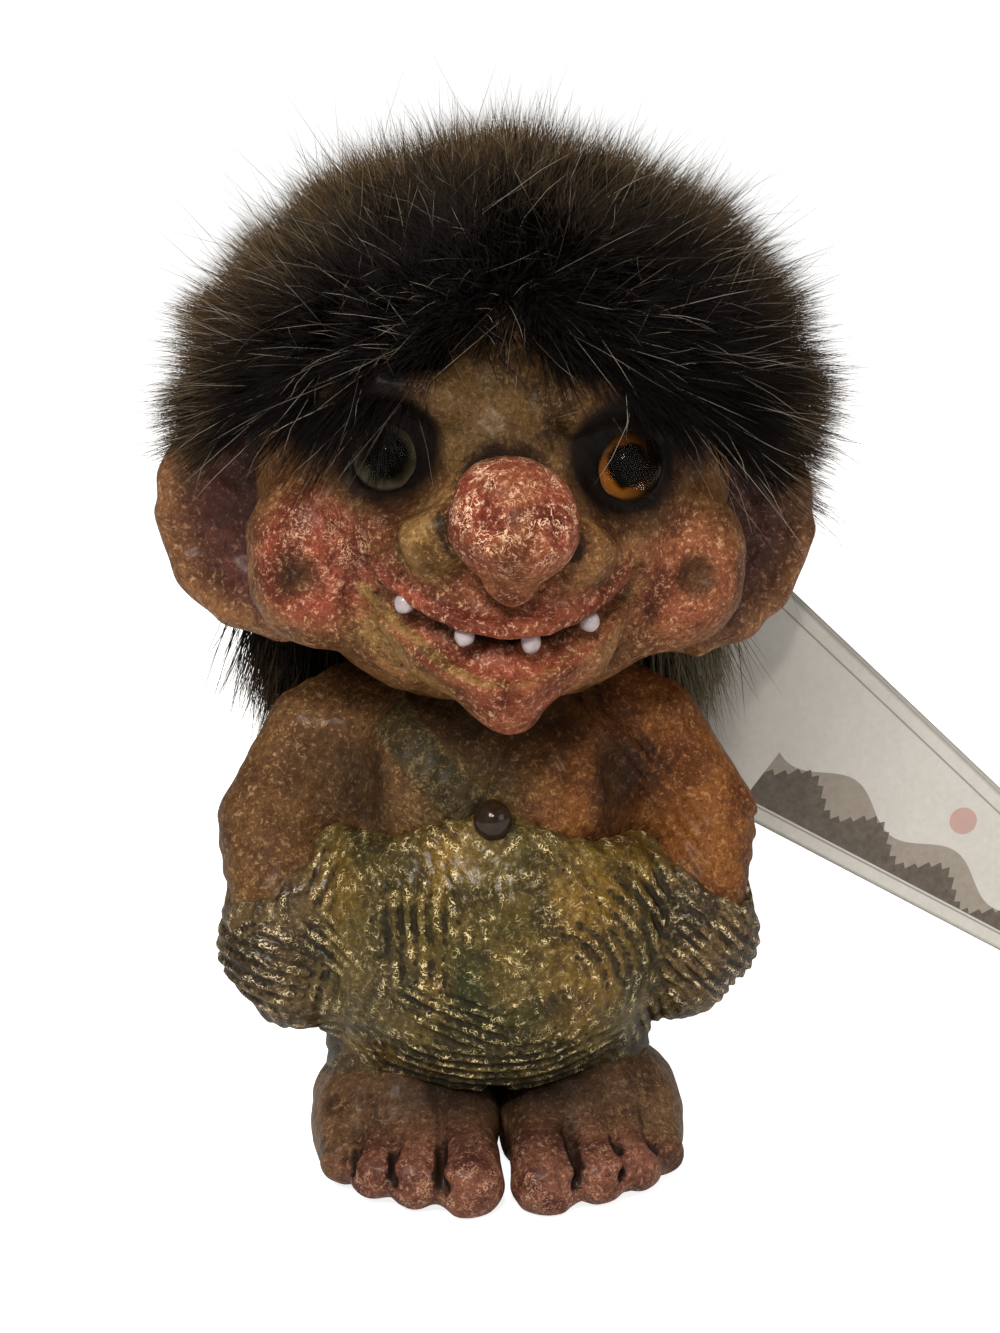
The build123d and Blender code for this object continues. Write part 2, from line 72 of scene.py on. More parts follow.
lamp("window", (-0.30, -0.55, 0.62), size=0.26, power=4.8, tint=(1.0, 0.96, 0.91))
lamp("side_fill", (0.60, -0.45, 0.30), size=0.40, power=1.0, tint=(1.0, 0.94, 0.88))
lamp("glint_lamp", (-0.05, -0.55, 0.50), size=0.07, power=1.6, tint=(1.0, 0.93, 0.84))
lamp("rim_lamp", (0.10, 0.60, 0.55), size=0.40, power=1.5, tint=(1.0, 0.97, 0.94))

world = bpy.data.worlds.new("paper_sky")
world.use_nodes = True
bpy.context.scene.world = world
sky = world.node_tree
sky.nodes["Background"].inputs["Strength"].default_value = 0.20
sky_ray = sky.nodes.new("ShaderNodeLightPath").outputs["Is Camera Ray"]
white_sky = sky.nodes.new("ShaderNodeBackground")
white_sky.inputs["Strength"].default_value = 1.0
white_sky.inputs["Color"].default_value = (1, 1, 1, 1)
sky.nodes["Background"].inputs["Color"].default_value = (1, 1, 1, 1)
sky_mix = sky.nodes.new("ShaderNodeMixShader")
sky.links.new(sky_ray, sky_mix.inputs["Fac"])
sky.links.new(sky.nodes["Background"].outputs["Background"], sky_mix.inputs[1])
sky.links.new(white_sky.outputs["Background"], sky_mix.inputs[2])
sky.links.new(sky_mix.outputs["Shader"], sky.nodes["World Output"].inputs["Surface"])


def mesh_piece(name, points, faces, material, body="figure"):
    """A piece from points in millimetres and faces of three or four corners, riding on a body."""
    mesh = bpy.data.meshes.new(name)
    faces = np.asarray(faces, np.int32)
    corners = faces.shape[1]
    mesh.vertices.add(len(points))
    mesh.vertices.foreach_set("co", (np.asarray(points, np.float32) * 0.001).ravel())
    mesh.loops.add(faces.size)
    mesh.loops.foreach_set("vertex_index", faces.ravel())
    mesh.polygons.add(len(faces))
    mesh.polygons.foreach_set("loop_start", np.arange(len(faces), dtype=np.int32) * corners)
    mesh.polygons.foreach_set("loop_total", np.full(len(faces), corners, np.int32))
    mesh.polygons.foreach_set("use_smooth", np.ones(len(faces), bool))
    mesh.update(calc_edges=True)
    mesh.materials.append(material)
    piece = bpy.data.objects.new(name, mesh)
    bpy.context.scene.collection.objects.link(piece)
    if body:
        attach(piece, body)
    return piece


def new_material(name):
    """An empty node material with its Principled shader."""
    material = bpy.data.materials.new(name)
    material.use_nodes = True
    return material, material.node_tree, material.node_tree.nodes["Principled BSDF"]


def set_sockets(node, **values):
    """Give a node's sockets plain values. Underscores stand for spaces."""
    for key, value in values.items():
        node.inputs[key.replace("_", " ")].default_value = value


def in_mm(box):
    """A box's lower and upper corners in millimetres."""
    return (np.array(corner) * 1000 for corner in box)


def sheet_faces(columns, rows):
    """The faces of a sheet of two layers of points: the cells of the first layer, and the strip
    that joins the two layers round the rim. The second layer's cells are the first's, reversed."""
    cell = (np.arange(columns - 1)[:, None] * rows + np.arange(rows - 1)).ravel()
    cells = np.stack([cell, cell + rows, cell + rows + 1, cell + 1], 1)
    rim = np.concatenate(
        [
            np.arange(rows),
            np.arange(1, columns) * rows + rows - 1,
            (columns - 1) * rows + np.arange(rows - 2, -1, -1),
            np.arange(columns - 2, 0, -1) * rows,
        ]
    )
    after = np.roll(rim, -1)
    layer = columns * rows
    return cells, np.stack([rim, after, after + layer, rim + layer], 1)


def attribute(tree, name):
    """The value that a piece keeps under this name, as a socket."""
    node = tree.nodes.new("ShaderNodeAttribute")
    node.attribute_name = name
    return node.outputs["Fac"]


def feed(tree, socket, value):
    """Give a socket its value, which is another socket or a plain value."""
    if hasattr(value, "links"):
        tree.links.new(value, socket)
    else:
        socket.default_value = value


def colour_mix(tree, share, a, b):
    """Two colours mixed by a share. Each may be a colour or a socket."""
    node = tree.nodes.new("ShaderNodeMix")
    node.data_type = "RGBA"
    for socket, value in ((node.inputs["Factor"], share), (node.inputs[6], a), (node.inputs[7], b)):
        feed(tree, socket, value)
    return node.outputs[2]


def maths_in(tree):
    """A function that adds a maths node to this tree. Its two values are numbers or sockets."""

    def maths(kind, a, b=0.0, clamp=False):
        node = tree.nodes.new("ShaderNodeMath")
        node.operation = kind
        node.use_clamp = clamp
        for socket, value in zip(node.inputs, (a, b)):
            feed(tree, socket, value)
        return node.outputs["Value"]

    return maths


def noise_socket(tree, scale, **values):
    """A noise texture over the piece's own coordinates, as a socket."""
    texture = tree.nodes.new("ShaderNodeTexNoise")
    set_sockets(texture, Scale=scale, **values)
    where = tree.nodes.new("ShaderNodeTexCoord").outputs["Object"]
    tree.links.new(where, texture.inputs["Vector"])
    return texture.outputs["Fac"]


def speckled(name, dark, light, scale, detail=3.0, **surface):
    """A plain finish: two tones mixed by a noise over the piece's own coordinates, and plain values
    for the surface."""
    material, tree, shader = new_material(name)
    shade = colour_mix(tree, noise_socket(tree, scale, Detail=detail), dark, light)
    tree.links.new(shade, shader.inputs["Base Color"])
    set_sockets(shader, **surface)
    return material


def refinish(node, material):
    """Give a solid that keeps its CAD mesh a material of its own."""
    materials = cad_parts[node].data.materials
    materials.clear()
    materials.append(material)


paper_floor, tree, shader = new_material("white_paper")
set_sockets(shader, Base_Color=(0.90, 0.90, 0.89, 1), Roughness=0.9)
floor_ray = tree.nodes.new("ShaderNodeLightPath").outputs["Is Camera Ray"]
shader.inputs["Emission Color"].default_value = (1, 1, 1, 1)
tree.links.new(maths_in(tree)("MULTIPLY", floor_ray, 0.85), shader.inputs["Emission Strength"])
floor_reach, floor_level = 20000, -0.02
floor_points = [
    (x * floor_reach, y * floor_reach, floor_level) for x, y in ((-1, -1), (1, -1), (1, 1), (-1, 1))
]
floor = mesh_piece("floor", floor_points, [(0, 1, 2, 3)], paper_floor, None)


# --- Head ------------------------------------------------------------------------------------
# The head is cast in thin rubber from a carved master: a round skull with fat cheeks, a bulb of a
# nose, a shovel of a jaw and a wide grin. It is brushed dark, then dry-brushed tan, ochre and red.


def ball(p, centre, radius):
    """Distance to a ball: the length from its middle, less its radius."""
    return np.linalg.norm(p - np.array(centre, np.float32), axis=1) - radius


def limb(p, start, end, start_radius, end_radius):
    """Distance to a tapered limb: to the nearest place on its axis, less the radius there."""
    start = np.array(start, np.float32)
    along = np.array(end, np.float32) - start
    share = np.clip((p - start) @ along / (along @ along), 0, 1)
    away = np.linalg.norm(p - start - share[:, None] * along, axis=1)
    return away - start_radius - share * (end_radius - start_radius)


def chain(p, points, radii):
    """Distance to limbs laid end to end through points, with a radius at each point."""
    parts = [
        limb(p, points[i], points[i + 1], radii[i], radii[i + 1]) for i in range(len(points) - 1)
    ]
    return np.minimum.reduce(parts)


def merge(a, b, soft):
    """Two forms as one, their meeting rounded: the lesser distance, less a quarter of h squared."""
    overlap = np.maximum(soft - np.abs(a - b), 0) / soft
    return np.minimum(a, b) - overlap * overlap * soft * 0.25


def carve(a, b, soft):
    """Form a with form b cut out of it, the edge of the cut rounded."""
    return -merge(-a, b, soft)


def noise(p, size, seed):
    """Soft noise from -1 to 1: hashed values at the corners of cubes, eased across each cube."""
    place = p / size
    low = np.floor(place)
    share = place - low
    share = share * share * (3 - 2 * share)
    low = low.astype(np.int64)
    total = np.zeros(len(p), np.float32)
    for corner in range(8):
        step = np.array([corner & 1, corner >> 1 & 1, corner >> 2 & 1])
        at = low + step
        key = at[:, 0] * 73856093 ^ at[:, 1] * 19349663 ^ at[:, 2] * 83492791 ^ seed * 2654435761
        key = (key ^ key >> 13) * 1274126177 & 0xFFFFFFFF
        value = (key ^ key >> 16 & 0xFFFF) % 65536 / 32767.5 - 1
        weight = np.prod(np.where(step == 1, share, 1 - share), axis=1)
        total += (value * weight).astype(np.float32)
    return total


def skin_of(field, low, high, cell):
    """The skin where a field of distances is nought. Space is cut into cubes, and each cube that
    the skin crosses gets one point, the mean of its edges' crossings, which is then moved along
    the field's slope onto the skin. Each crossed edge joins its four cubes' points by a face."""
    block = 6
    axes = [np.arange(a, b + cell * block, cell, dtype=np.float32) for a, b in zip(low, high)]
    axes = [a[: len(a) // block * block] for a in axes]
    middles = [a[::block] + cell * (block - 1) / 2 for a in axes]
    grid = np.stack(np.meshgrid(*middles, indexing="ij"), -1).reshape(-1, 3)
    depth = field(grid).reshape([len(m) for m in middles])
    for axis in range(3):
        depth = np.repeat(depth, block, axis=axis)
    depth = depth.astype(np.float32)
    near = np.nonzero(np.abs(depth) < block * cell * 1.25)
    depth[near] = field(np.stack([axes[k][near[k]] for k in range(3)], 1))
    inside = depth < 0
    strides = np.array([depth.shape[1] * depth.shape[2], depth.shape[2], 1])
    cubes, points = [], []
    for axis in range(3):
        first = tuple(slice(0, -1) if k == axis else slice(None) for k in range(3))
        second = tuple(slice(1, None) if k == axis else slice(None) for k in range(3))
        crossed = inside[first] != inside[second]
        at = np.stack(np.nonzero(crossed), 1)
        start, end = depth[first][crossed], depth[second][crossed]
        crossing = at.astype(np.float32)
        crossing[:, axis] += start / (start - end)
        one, two = np.eye(3, dtype=int)[(axis + 1) % 3], np.eye(3, dtype=int)[(axis + 2) % 3]
        around = np.stack([at - one - two, at - two, at, at - one], 1) @ strides
        cubes.append(np.where((start < 0)[:, None], around, around[:, ::-1]))
        points.append(np.repeat(crossing[:, None], 4, 1))
    cubes = np.concatenate(cubes)
    points = np.concatenate(points).reshape(-1, 3)
    _, index = np.unique(cubes.ravel(), return_inverse=True)
    share = np.bincount(index)
    middle = np.stack([np.bincount(index, weights=points[:, k]) / share for k in range(3)], 1)
    vertices = (np.array([a[0] for a in axes]) + cell * middle).astype(np.float32)
    for _ in range(2):
        slope = slope_of(field, vertices)
        step = field(vertices)[:, None] * slope / np.maximum((slope * slope).sum(1), 0.2)[:, None]
        vertices = vertices - np.clip(step, -0.6 * cell, 0.6 * cell)
    return vertices, index.reshape(-1, 4)


def slope_of(field, p):
    """The field's slope at points: the differences across a fifth of a millimetre."""
    steps = np.eye(3, dtype=np.float32) * 0.1
    return np.stack([(field(p + s) - field(p - s)) * 5 for s in steps], 1)


def hollowness(field, p):
    """How deep a point lies in a crease or hollow, from 0 to 1: the room that is missing above the
    skin. The paints lay painted shade by it.
    """
    out = slope_of(field, p)
    out /= np.maximum(np.linalg.norm(out, axis=1), 0.01)[:, None]
    missing = [np.clip(1 - field(p + out * reach) / reach, 0, 1) for reach in (1.0, 2.4, 5.0)]
    return np.mean(missing, axis=0)


def mark(piece, name, values):
    """Keep a value for each point of a piece, which its paint reads."""
    layer = piece.data.attributes.new(name, "FLOAT", "POINT")
    layer.data.foreach_set("value", np.asarray(values, np.float32))


def patch(p, centre, reach, soft):
    """A soft round patch of paint: 1 inside its reach, and 0 past its soft edge."""
    return np.clip((reach + soft / 2 - ball(p, centre, 0)) / soft, 0, 1)


def daubs(p, rows):
    """The strongest of several soft patches: their strength, middle, reach and soft edge."""
    return np.maximum.reduce([share * patch(p, *place) for share, *place in rows])


def nose_form(p):
    """The bulb of the nose, running down to a point."""
    bulb = merge(ball(p, (-0.9, -38.6, 94.2), 6.9), ball(p, (0.9, -38.9, 93.2), 6.9), 1.0)
    tip = limb(p, (-0.3, -39.0, 91.0), (-0.5, -38.6, 86.4), 6.6, 3.4)
    return merge(bulb, tip, 3.0) + 0.28 * noise(p, 2.6, 5)


SKULL_MIDDLE, SKULL_RADIUS = (0, 0, 92), 31
LOWER_RIM = [
    (-17.8, -23.8, 81.6), (-15.2, -27.0, 79.4), (-12.2, -30.6, 77.4), (-8.0, -34.2, 74.2),
    (-3.6, -36.6, 72.7), (1.8, -36.8, 72.6), (6.0, -34.4, 74.4), (10.6, -29.9, 78.0),
    (13.8, -26.8, 80.3), (16.8, -23.8, 81.6),
]
EYE_PLACES = []
for word in ("left", "right"):
    low, high = in_mm(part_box(word + "_eye_glass"))
    EYE_PLACES.append(((low[0] + high[0]) / 2, high[1], (low[2] + high[2]) / 2))


def head_form(p):
    """The head's skin, built up and carved in the order in which the master was modelled."""
    skin = ball(p, SKULL_MIDDLE, SKULL_RADIUS)
    skin = merge(skin, limb(p, (-1.2, -25.5, 100), (0, -17.5, 111), 7.2, 8.2), 4)
    for left in (True, False):
        if left:
            cheek = limb(p, (-23.4, -15.6, 86.2), (-23.2, -16.4, 82.4), 9.0, 8.8)
            jowl = limb(p, (-22.5, -16.5, 81.5), (-11.0, -22.5, 73.6), 7.2, 4.2)
            muzzle = limb(p, (-6.5, -26.5, 88.5), (-13.5, -24.5, 87.5), 8.0, 5.0)
            wing = limb(p, (-9.3, -34.0, 90.6), (-6.5, -33.0, 91.5), 4.5, 4.5)
            lid = [(-21.5, -22.0, 94.2), (-15.5, -26.6, 91.9), (-9.0, -29, 94)]
            brow = [(-23, -20, 104.8), (-15, -26.6, 107.2), (-8, -28.3, 106)]
        else:
            cheek = limb(p, (22.6, -15.4, 84.6), (22.3, -16.2, 81.0), 8.8, 8.6)
            jowl = limb(p, (21.5, -16.0, 80.0), (11.0, -22.0, 73.4), 7.0, 4.2)
            muzzle = limb(p, (6.5, -26.5, 87.8), (13.0, -24.0, 86.3), 8.0, 5.0)
            wing = limb(p, (8.9, -33.4, 88.2), (6.0, -32.5, 90.5), 4.1, 4.5)
            lid = [(20.8, -21.8, 92.6), (15.0, -26.4, 90.4), (8.6, -29, 92.8)]
            brow = [(22, -20, 103), (15, -26.4, 105.6), (7.5, -28.3, 105.4)]
        skin = merge(skin, cheek, 2.5)
        skin = merge(skin, jowl, 3.0)
        skin = merge(skin, muzzle, 4.0)
        skin = merge(skin, chain(p, brow, (2.6, 3.4, 3.6)), 2.5)
        skin = merge(skin, chain(p, lid, (0.6, 1.6, 1.2)), 3.6)
        skin = merge(skin, wing, 3.0)
    jaw_line = [
        (-14.8, -22.5, 81.5), (-8.8, -28.5, 75.5), (-0.2, -31.5, 71.8), (8.4, -28.0, 75.3),
        (13.6, -22.5, 81),
    ]
    jaw = chain(p, jaw_line, (4.0, 4.6, 4.8, 4.6, 4.0))
    chin = limb(p, (-0.2, -32.2, 70.6), (-0.2, -32.0, 68.9), 4.2, 3.3)
    skin = merge(skin, merge(jaw, chin, 4.0), 1.6)
    skin = merge(skin, chain(p, LOWER_RIM, (1.4,) * 10), 1.8)
    shelf = [
        (-13.5, -28.0, 86.0), (-7.5, -32.5, 83.0), (-1.2, -34.2, 81.8), (6, -33.0, 82.6),
        (11.6, -28.2, 85.2),
    ]
    skin = merge(skin, chain(p, shelf, (2.6, 3.1, 3.3, 3.1, 2.6)), 3.0)
    scoop = [
        (-15.6, -30.0, 82.2), (-9.0, -36.2, 78.2), (-0.6, -38.6, 76.2), (7.4, -36.0, 77.9),
        (13.6, -29.6, 81.9),
    ]
    skin = carve(skin, chain(p, scoop, (2.2, 3.2, 3.6, 3.2, 2.2)), 1.4)
    upper_rim = [
        (-15.6, -29.6, 85.6), (-13.6, -31.4, 84.1), (-11.2, -33.4, 82.4), (-8.6, -35.3, 81.3),
        (-6.2, -36.7, 80.5), (-1.6, -38.0, 79.8), (4.3, -37.1, 80.1), (9.2, -34.4, 81.7),
        (11.7, -32.4, 83.2), (13.5, -29.6, 84.6),
    ]
    rim_radii = (1.0, 1.1, 1.1, 1.2, 1.2, 1.25, 1.2, 1.2, 1.1, 1.0)
    skin = merge(skin, chain(p, upper_rim, rim_radii), 1.6)
    dish = limb(p, (-5.4, -38.6, 84.4), (4.4, -38.6, 84.2), 2.6, 2.6)
    skin = carve(skin, dish, 2.0)
    left_fold = [
        (-18.3, -28.0, 84.6), (-18.9, -27.0, 80.6), (-17.7, -26.2, 76.9), (-14.2, -26.4, 73.0),
    ]
    right_fold = [
        (16.2, -28.2, 83.4), (17.9, -27.2, 80.9), (17.3, -26.4, 77.6), (14.2, -26.6, 73.2),
    ]
    skin = carve(skin, chain(p, left_fold, (2.0, 2.1, 1.8, 1.2)), 1.6)
    skin = carve(skin, chain(p, right_fold, (2.1, 2.2, 1.8, 1.2)), 1.6)
    skin = carve(skin, limb(p, (-14.8, -32.4, 99.4), (-15.6, -31.0, 99.2), 7.0, 7.0), 2.5)
    skin = carve(skin, limb(p, (15.2, -32.2, 97.8), (15.8, -31.0, 97.6), 7.0, 7.0), 2.5)
    for place in EYE_PLACES:
        skin = carve(skin, ball(p, place, 4.2), 0.4)
    skin = merge(skin, nose_form(p), 1.0)
    skin = carve(skin, limb(p, (-27.8, -25.6, 85.6), (-25.6, -26.0, 82.0), 1.7, 2.2), 2.4)
    skin = carve(skin, ball(p, (24.3, -24.8, 83.1), 2.1), 2.0)
    skin = carve(skin, limb(p, (-31.5, -18.5, 90.6), (-26.5, -24.0, 92.0), 0.5, 0.4), 1.2)
    lumps = 0.26 * noise(p, 5.0, 3) + 0.16 * noise(p, 2.0, 4)
    return skin + lumps


def paint_group():
    """Brushed paint in layers: a dark wash that stays in the folds, which is the paint's wash and
    painted shade in one, the coat, its blotches, a light dry brush that catches the high grain, and
    painted cream glints. It puts out the colour, roughness and grain."""
    group = bpy.data.node_groups.new("brushed_paint", "ShaderNodeTree")
    for way, kind, names in (
        ("INPUT", "Color", ("Coat", "Blotch", "Wash", "Dry Brush")),
        ("INPUT", "Float", ("Fold", "Grain Scale", "Brush Amount", "Wash Amount", "Glint")),
        ("OUTPUT", "Color", ("Color",)),
        ("OUTPUT", "Float", ("Shine", "Grain")),
    ):
        for name in names:
            group.interface.new_socket(name, in_out=way, socket_type="NodeSocket" + kind)
    nodes, links = group.nodes, group.links
    out = nodes.new("NodeGroupOutput")
    given = nodes.new("NodeGroupInput").outputs
    where = nodes.new("ShaderNodeTexCoord").outputs["Object"]
    maths = maths_in(group)

    def speckle(times, detail, rough, twist):
        texture = nodes.new("ShaderNodeTexNoise")
        set_sockets(texture, Detail=detail, Roughness=rough, Distortion=twist)
        links.new(maths("MULTIPLY", given["Grain Scale"], times), texture.inputs["Scale"])
        links.new(where, texture.inputs["Vector"])
        return texture.outputs["Fac"]

    def ramp(value, low, high):
        node = nodes.new("ShaderNodeMapRange")
        node.interpolation_type = "SMOOTHSTEP"
        set_sockets(node, From_Min=low, From_Max=high)
        links.new(value, node.inputs["Value"])
        return node.outputs["Result"]

    broad = speckle(0.12, 3.0, 0.55, 0.4)
    fine = speckle(1.0, 3.0, 0.65, 0.6)
    finer = speckle(2.6, 2.0, 0.6, 0.2)
    colour = colour_mix(group, ramp(broad, 0.42, 0.62), given["Coat"], given["Blotch"])
    grain = maths("ADD", maths("MULTIPLY", fine, 0.65), maths("MULTIPLY", finer, 0.35))
    pits = maths("SUBTRACT", 1.0, ramp(grain, 0.36, 0.52))
    # Painted shade: the mark of folds darkens creases and hollows by their depth, added to the
    # paint's wash in the pits of the grain.
    folded = ramp(given["Fold"], 0.10, 0.62)
    dark = maths("ADD", folded, maths("MULTIPLY", pits, 0.55), True)
    wash_and_shade = maths("MULTIPLY", dark, given["Wash Amount"], True)
    colour = colour_mix(group, wash_and_shade, colour, given["Wash"])
    brushed = maths("MULTIPLY", ramp(grain, 0.52, 0.66), given["Brush Amount"])
    open_skin = maths("SUBTRACT", 1.0, folded, True)
    brushed = maths("MULTIPLY", brushed, open_skin, True)
    colour = colour_mix(group, brushed, colour, given["Dry Brush"])
    # Painted highlights: worm-like cream glints in the dry-brush colour, laid where the mark of
    # glints says and kept out of the folds.
    worm = speckle(0.8, 1.0, 0.5, 1.4)
    from_middle = maths("ABSOLUTE", maths("SUBTRACT", worm, 0.5), 0.0)
    worm = maths("SUBTRACT", 1.0, ramp(from_middle, 0.012, 0.040))
    here = ramp(speckle(0.35, 1.0, 0.5, 0.0), 0.46, 0.58)
    lifted = maths("MULTIPLY", given["Glint"], open_skin)
    worm = maths("MULTIPLY", maths("MULTIPLY", worm, here), lifted, True)
    colour = colour_mix(group, worm, colour, given["Dry Brush"])
    links.new(colour, out.inputs["Color"])
    links.new(maths("SUBTRACT", 0.62, maths("MULTIPLY", fine, 0.30)), out.inputs["Shine"])
    links.new(grain, out.inputs["Grain"])
    return group


brushed_paint = paint_group()


# The wash colour, used for the paint's wash and for the painted shade in the folds.
SKIN_WASH_AND_SHADE = (0.014, 0.007, 0.004, 1)


def painted(name, layers, scale, brush, wash_and_shade, gloss, bump, wash=SKIN_WASH_AND_SHADE):
    """A painted rubber finish. Each layer is a mark and the colours of its coat, its blotches and
    its dry brush. The first lies everywhere and the others where their marks say."""
    material, tree, shader = new_material(name)
    colours = layers[0][1:]
    for kept, *over in layers[1:]:
        share = attribute(tree, kept)
        colours = [colour_mix(tree, share, low, high) for low, high in zip(colours, over)]
    paint = tree.nodes.new("ShaderNodeGroup")
    paint.node_tree = brushed_paint
    for socket, value in zip(("Coat", "Blotch", "Dry Brush"), colours):
        feed(tree, paint.inputs[socket], value)
    set_sockets(paint, Wash=wash, Grain_Scale=scale, Brush_Amount=brush, Wash_Amount=wash_and_shade)
    # The mark of folds lays painted shade, and the mark of glints lays painted highlights.
    tree.links.new(attribute(tree, "fold_shade"), paint.inputs["Fold"])
    tree.links.new(attribute(tree, "painted_glint"), paint.inputs["Glint"])
    tree.links.new(paint.outputs["Color"], shader.inputs["Base Color"])
    tree.links.new(paint.outputs["Shine"], shader.inputs["Roughness"])
    relief = tree.nodes.new("ShaderNodeBump")
    set_sockets(relief, Strength=bump, Distance=0.0003)
    tree.links.new(paint.outputs["Grain"], relief.inputs["Height"])
    tree.links.new(relief.outputs["Normal"], shader.inputs["Normal"])
    set_sockets(shader, Specular_IOR_Level=0.08, Coat_Weight=gloss, Coat_Roughness=0.20)
    return material


face_paint = painted(
    "face_paint",
    [
        ("all", (0.215, 0.098, 0.036, 1), (0.120, 0.048, 0.018, 1), (0.560, 0.330, 0.155, 1)),
        ("ochre", (0.250, 0.135, 0.045, 1), (0.115, 0.055, 0.016, 1), (0.560, 0.370, 0.170, 1)),
        ("rouge", (0.275, 0.060, 0.034, 1), (0.130, 0.022, 0.012, 1), (0.850, 0.560, 0.370, 1)),
        # Near-black: black paint round the eyes, and painted shade under the fringe and in the
        # dimples.
        ("eye_black_and_shade", (0.006, 0.004, 0.003, 1), (0.003, 0.002, 0.002, 1), (0.010, 0.008, 0.006, 1)),
    ],
    scale=1300.0,
    brush=0.60,
    wash_and_shade=0.95,
    gloss=0.04,
    bump=1.0,
)
points, faces = skin_of(head_form, (-36, -50, 57), (36, 34, 126), 0.48)
head = mesh_piece("head_skin", points, faces, face_paint)
gums = [
    (-15.0, -30.0, 82.0), (-9.0, -36.0, 77.5), (-0.6, -38.0, 76.0), (7.4, -36.0, 77.5),
    (13.0, -29.6, 81.7),
]
in_mouth = np.clip(1 - chain(points, gums, (1.6, 3.0, 3.4, 3.0, 1.6)) / 2.0, 0, 1)
in_dish = patch(points, (-0.5, -36.0, 83.5), 7.0, 4.0)
# Painted shade in the creases of the face, weaker in the mouth and in the dish under the nose.
mark(head, "fold_shade", hollowness(head_form, points) * (1 - 0.62 * np.maximum(in_mouth, in_dish)))
rim = np.clip(1.2 - chain(points + np.array((0, 1.1, -0.7)), LOWER_RIM, (0.6,) * 10) / 0.5, 0, 1)
rim *= 0.55 + 0.45 * np.clip(-points[:, 0] / 6, 0, 1)
upper_lip = [
    (-15, -30, 85), (-8.6, -35.3, 81), (-1.6, -38, 79.6), (9.2, -34.4, 81.5), (13.5, -29.6, 84.4),
]
from_lip = np.abs(chain(points, upper_lip, (0,) * 5))
nose_skin = np.clip(0.8 - nose_form(points) * 1.2, 0, 1)
rouge = (1 - 0.9 * rim) * np.maximum.reduce(
    [
        daubs(
            points,
            [
                (0.88, (-23.5, -24.0, 85.8), 8.6, 4.0),
                (0.55, (23.0, -24.0, 82.0), 8.0, 6.0),
                (0.72, (0.6, -36.0, 74.0), 8.5, 6.0),
                (0.62, (1.2, -34.0, 69.6), 6.0, 4.0),
                (0.55, (-16, -28, 92), 4.0, 5.0),
            ],
        ),
        nose_skin * np.clip((points[:, 2] - 86.4) / 2.5, 0, 1),
        0.85 * np.clip(1.6 - from_lip / 2.2, 0, 1),
        0.8 * in_mouth,
        0.6 * in_dish,
    ]
)
# Black paint round the eyes, and painted shade: above the eyes and on the forehead and temples,
# where the fringe shades them, and in the two dimples of the cheeks.
eye_black_and_shade = daubs(
    points,
    [
        (1.0, (-15.6, -27.5, 100.8), 8.8, 4.0),
        (1.0, (15.4, -27.5, 99.4), 9.6, 4.0),
        (0.60, (-1.0, -26.0, 110.0), 15.0, 8.0),
        (1.0, (-23, -18, 104), 7.0, 5.0),
        (1.0, (23, -18, 103), 7.0, 5.0),
        (1.0, (-15, -26, 108), 6.5, 4.0),
        (1.0, (16.5, -26, 107), 6.5, 4.0),
        (1.0, (-11.0, -28, 105), 4.0, 4.0),
        (1.0, (12.5, -28, 105), 4.5, 4.0),
        (0.85, (-26.7, -25.2, 83.8), 2.8, 2.6),
        (0.90, (24.3, -24.6, 83.1), 2.4, 2.2),
    ],
)
from_jaw = limb(points, (-18.0, -25.0, 78.5), (-6.0, -32.5, 68.0), 2.3, 1.4)
ochre = np.maximum.reduce(
    [
        patch(points, (-1.5, -30.0, 106.0), 10.0, 5.0),
        patch(points, (-9.8, -34.6, 90.6), 5.6, 2.0),
        np.clip(1.3 - from_jaw / 1.4, 0, 1),
        rim,
    ]
)
mark(head, "rouge", rouge * (1 - eye_black_and_shade))
mark(head, "eye_black_and_shade", eye_black_and_shade)
mark(head, "ochre", ochre)
# Painted highlights: cream glints on the top of the nose and on the left cheek.
on_nose = nose_skin * np.clip((points[:, 2] - 87.5) / 3, 0, 1)
mark(head, "painted_glint", np.maximum(on_nose * 1.5, 0.75 * patch(points, (-21.5, -27.0, 89.0), 6.0, 4.0)))
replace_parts(head, "head")


# --- Ears ------------------------------------------------------------------------------------
# Two large shallow cups behind the cheeks, cast with the head, each with a rolled rim and folds
# inside. They are brushed dark purple-brown inside and tan along the rim.


EAR_MIDDLES = {-1: (-27.7, 2.0, 87.0), 1: (27.0, 2.0, 84.1)}


def on_ear(side, p):
    """Where points lie on an ear: outwards across it, up it, and out of its face."""
    place = p - np.array(EAR_MIDDLES[side], np.float32)
    outward = np.array((side * 0.9578, 0.2873, 0), np.float32)
    facing = np.array((side * 0.2873, -0.9578, 0), np.float32)
    return place @ outward, place[:, 2], place @ facing


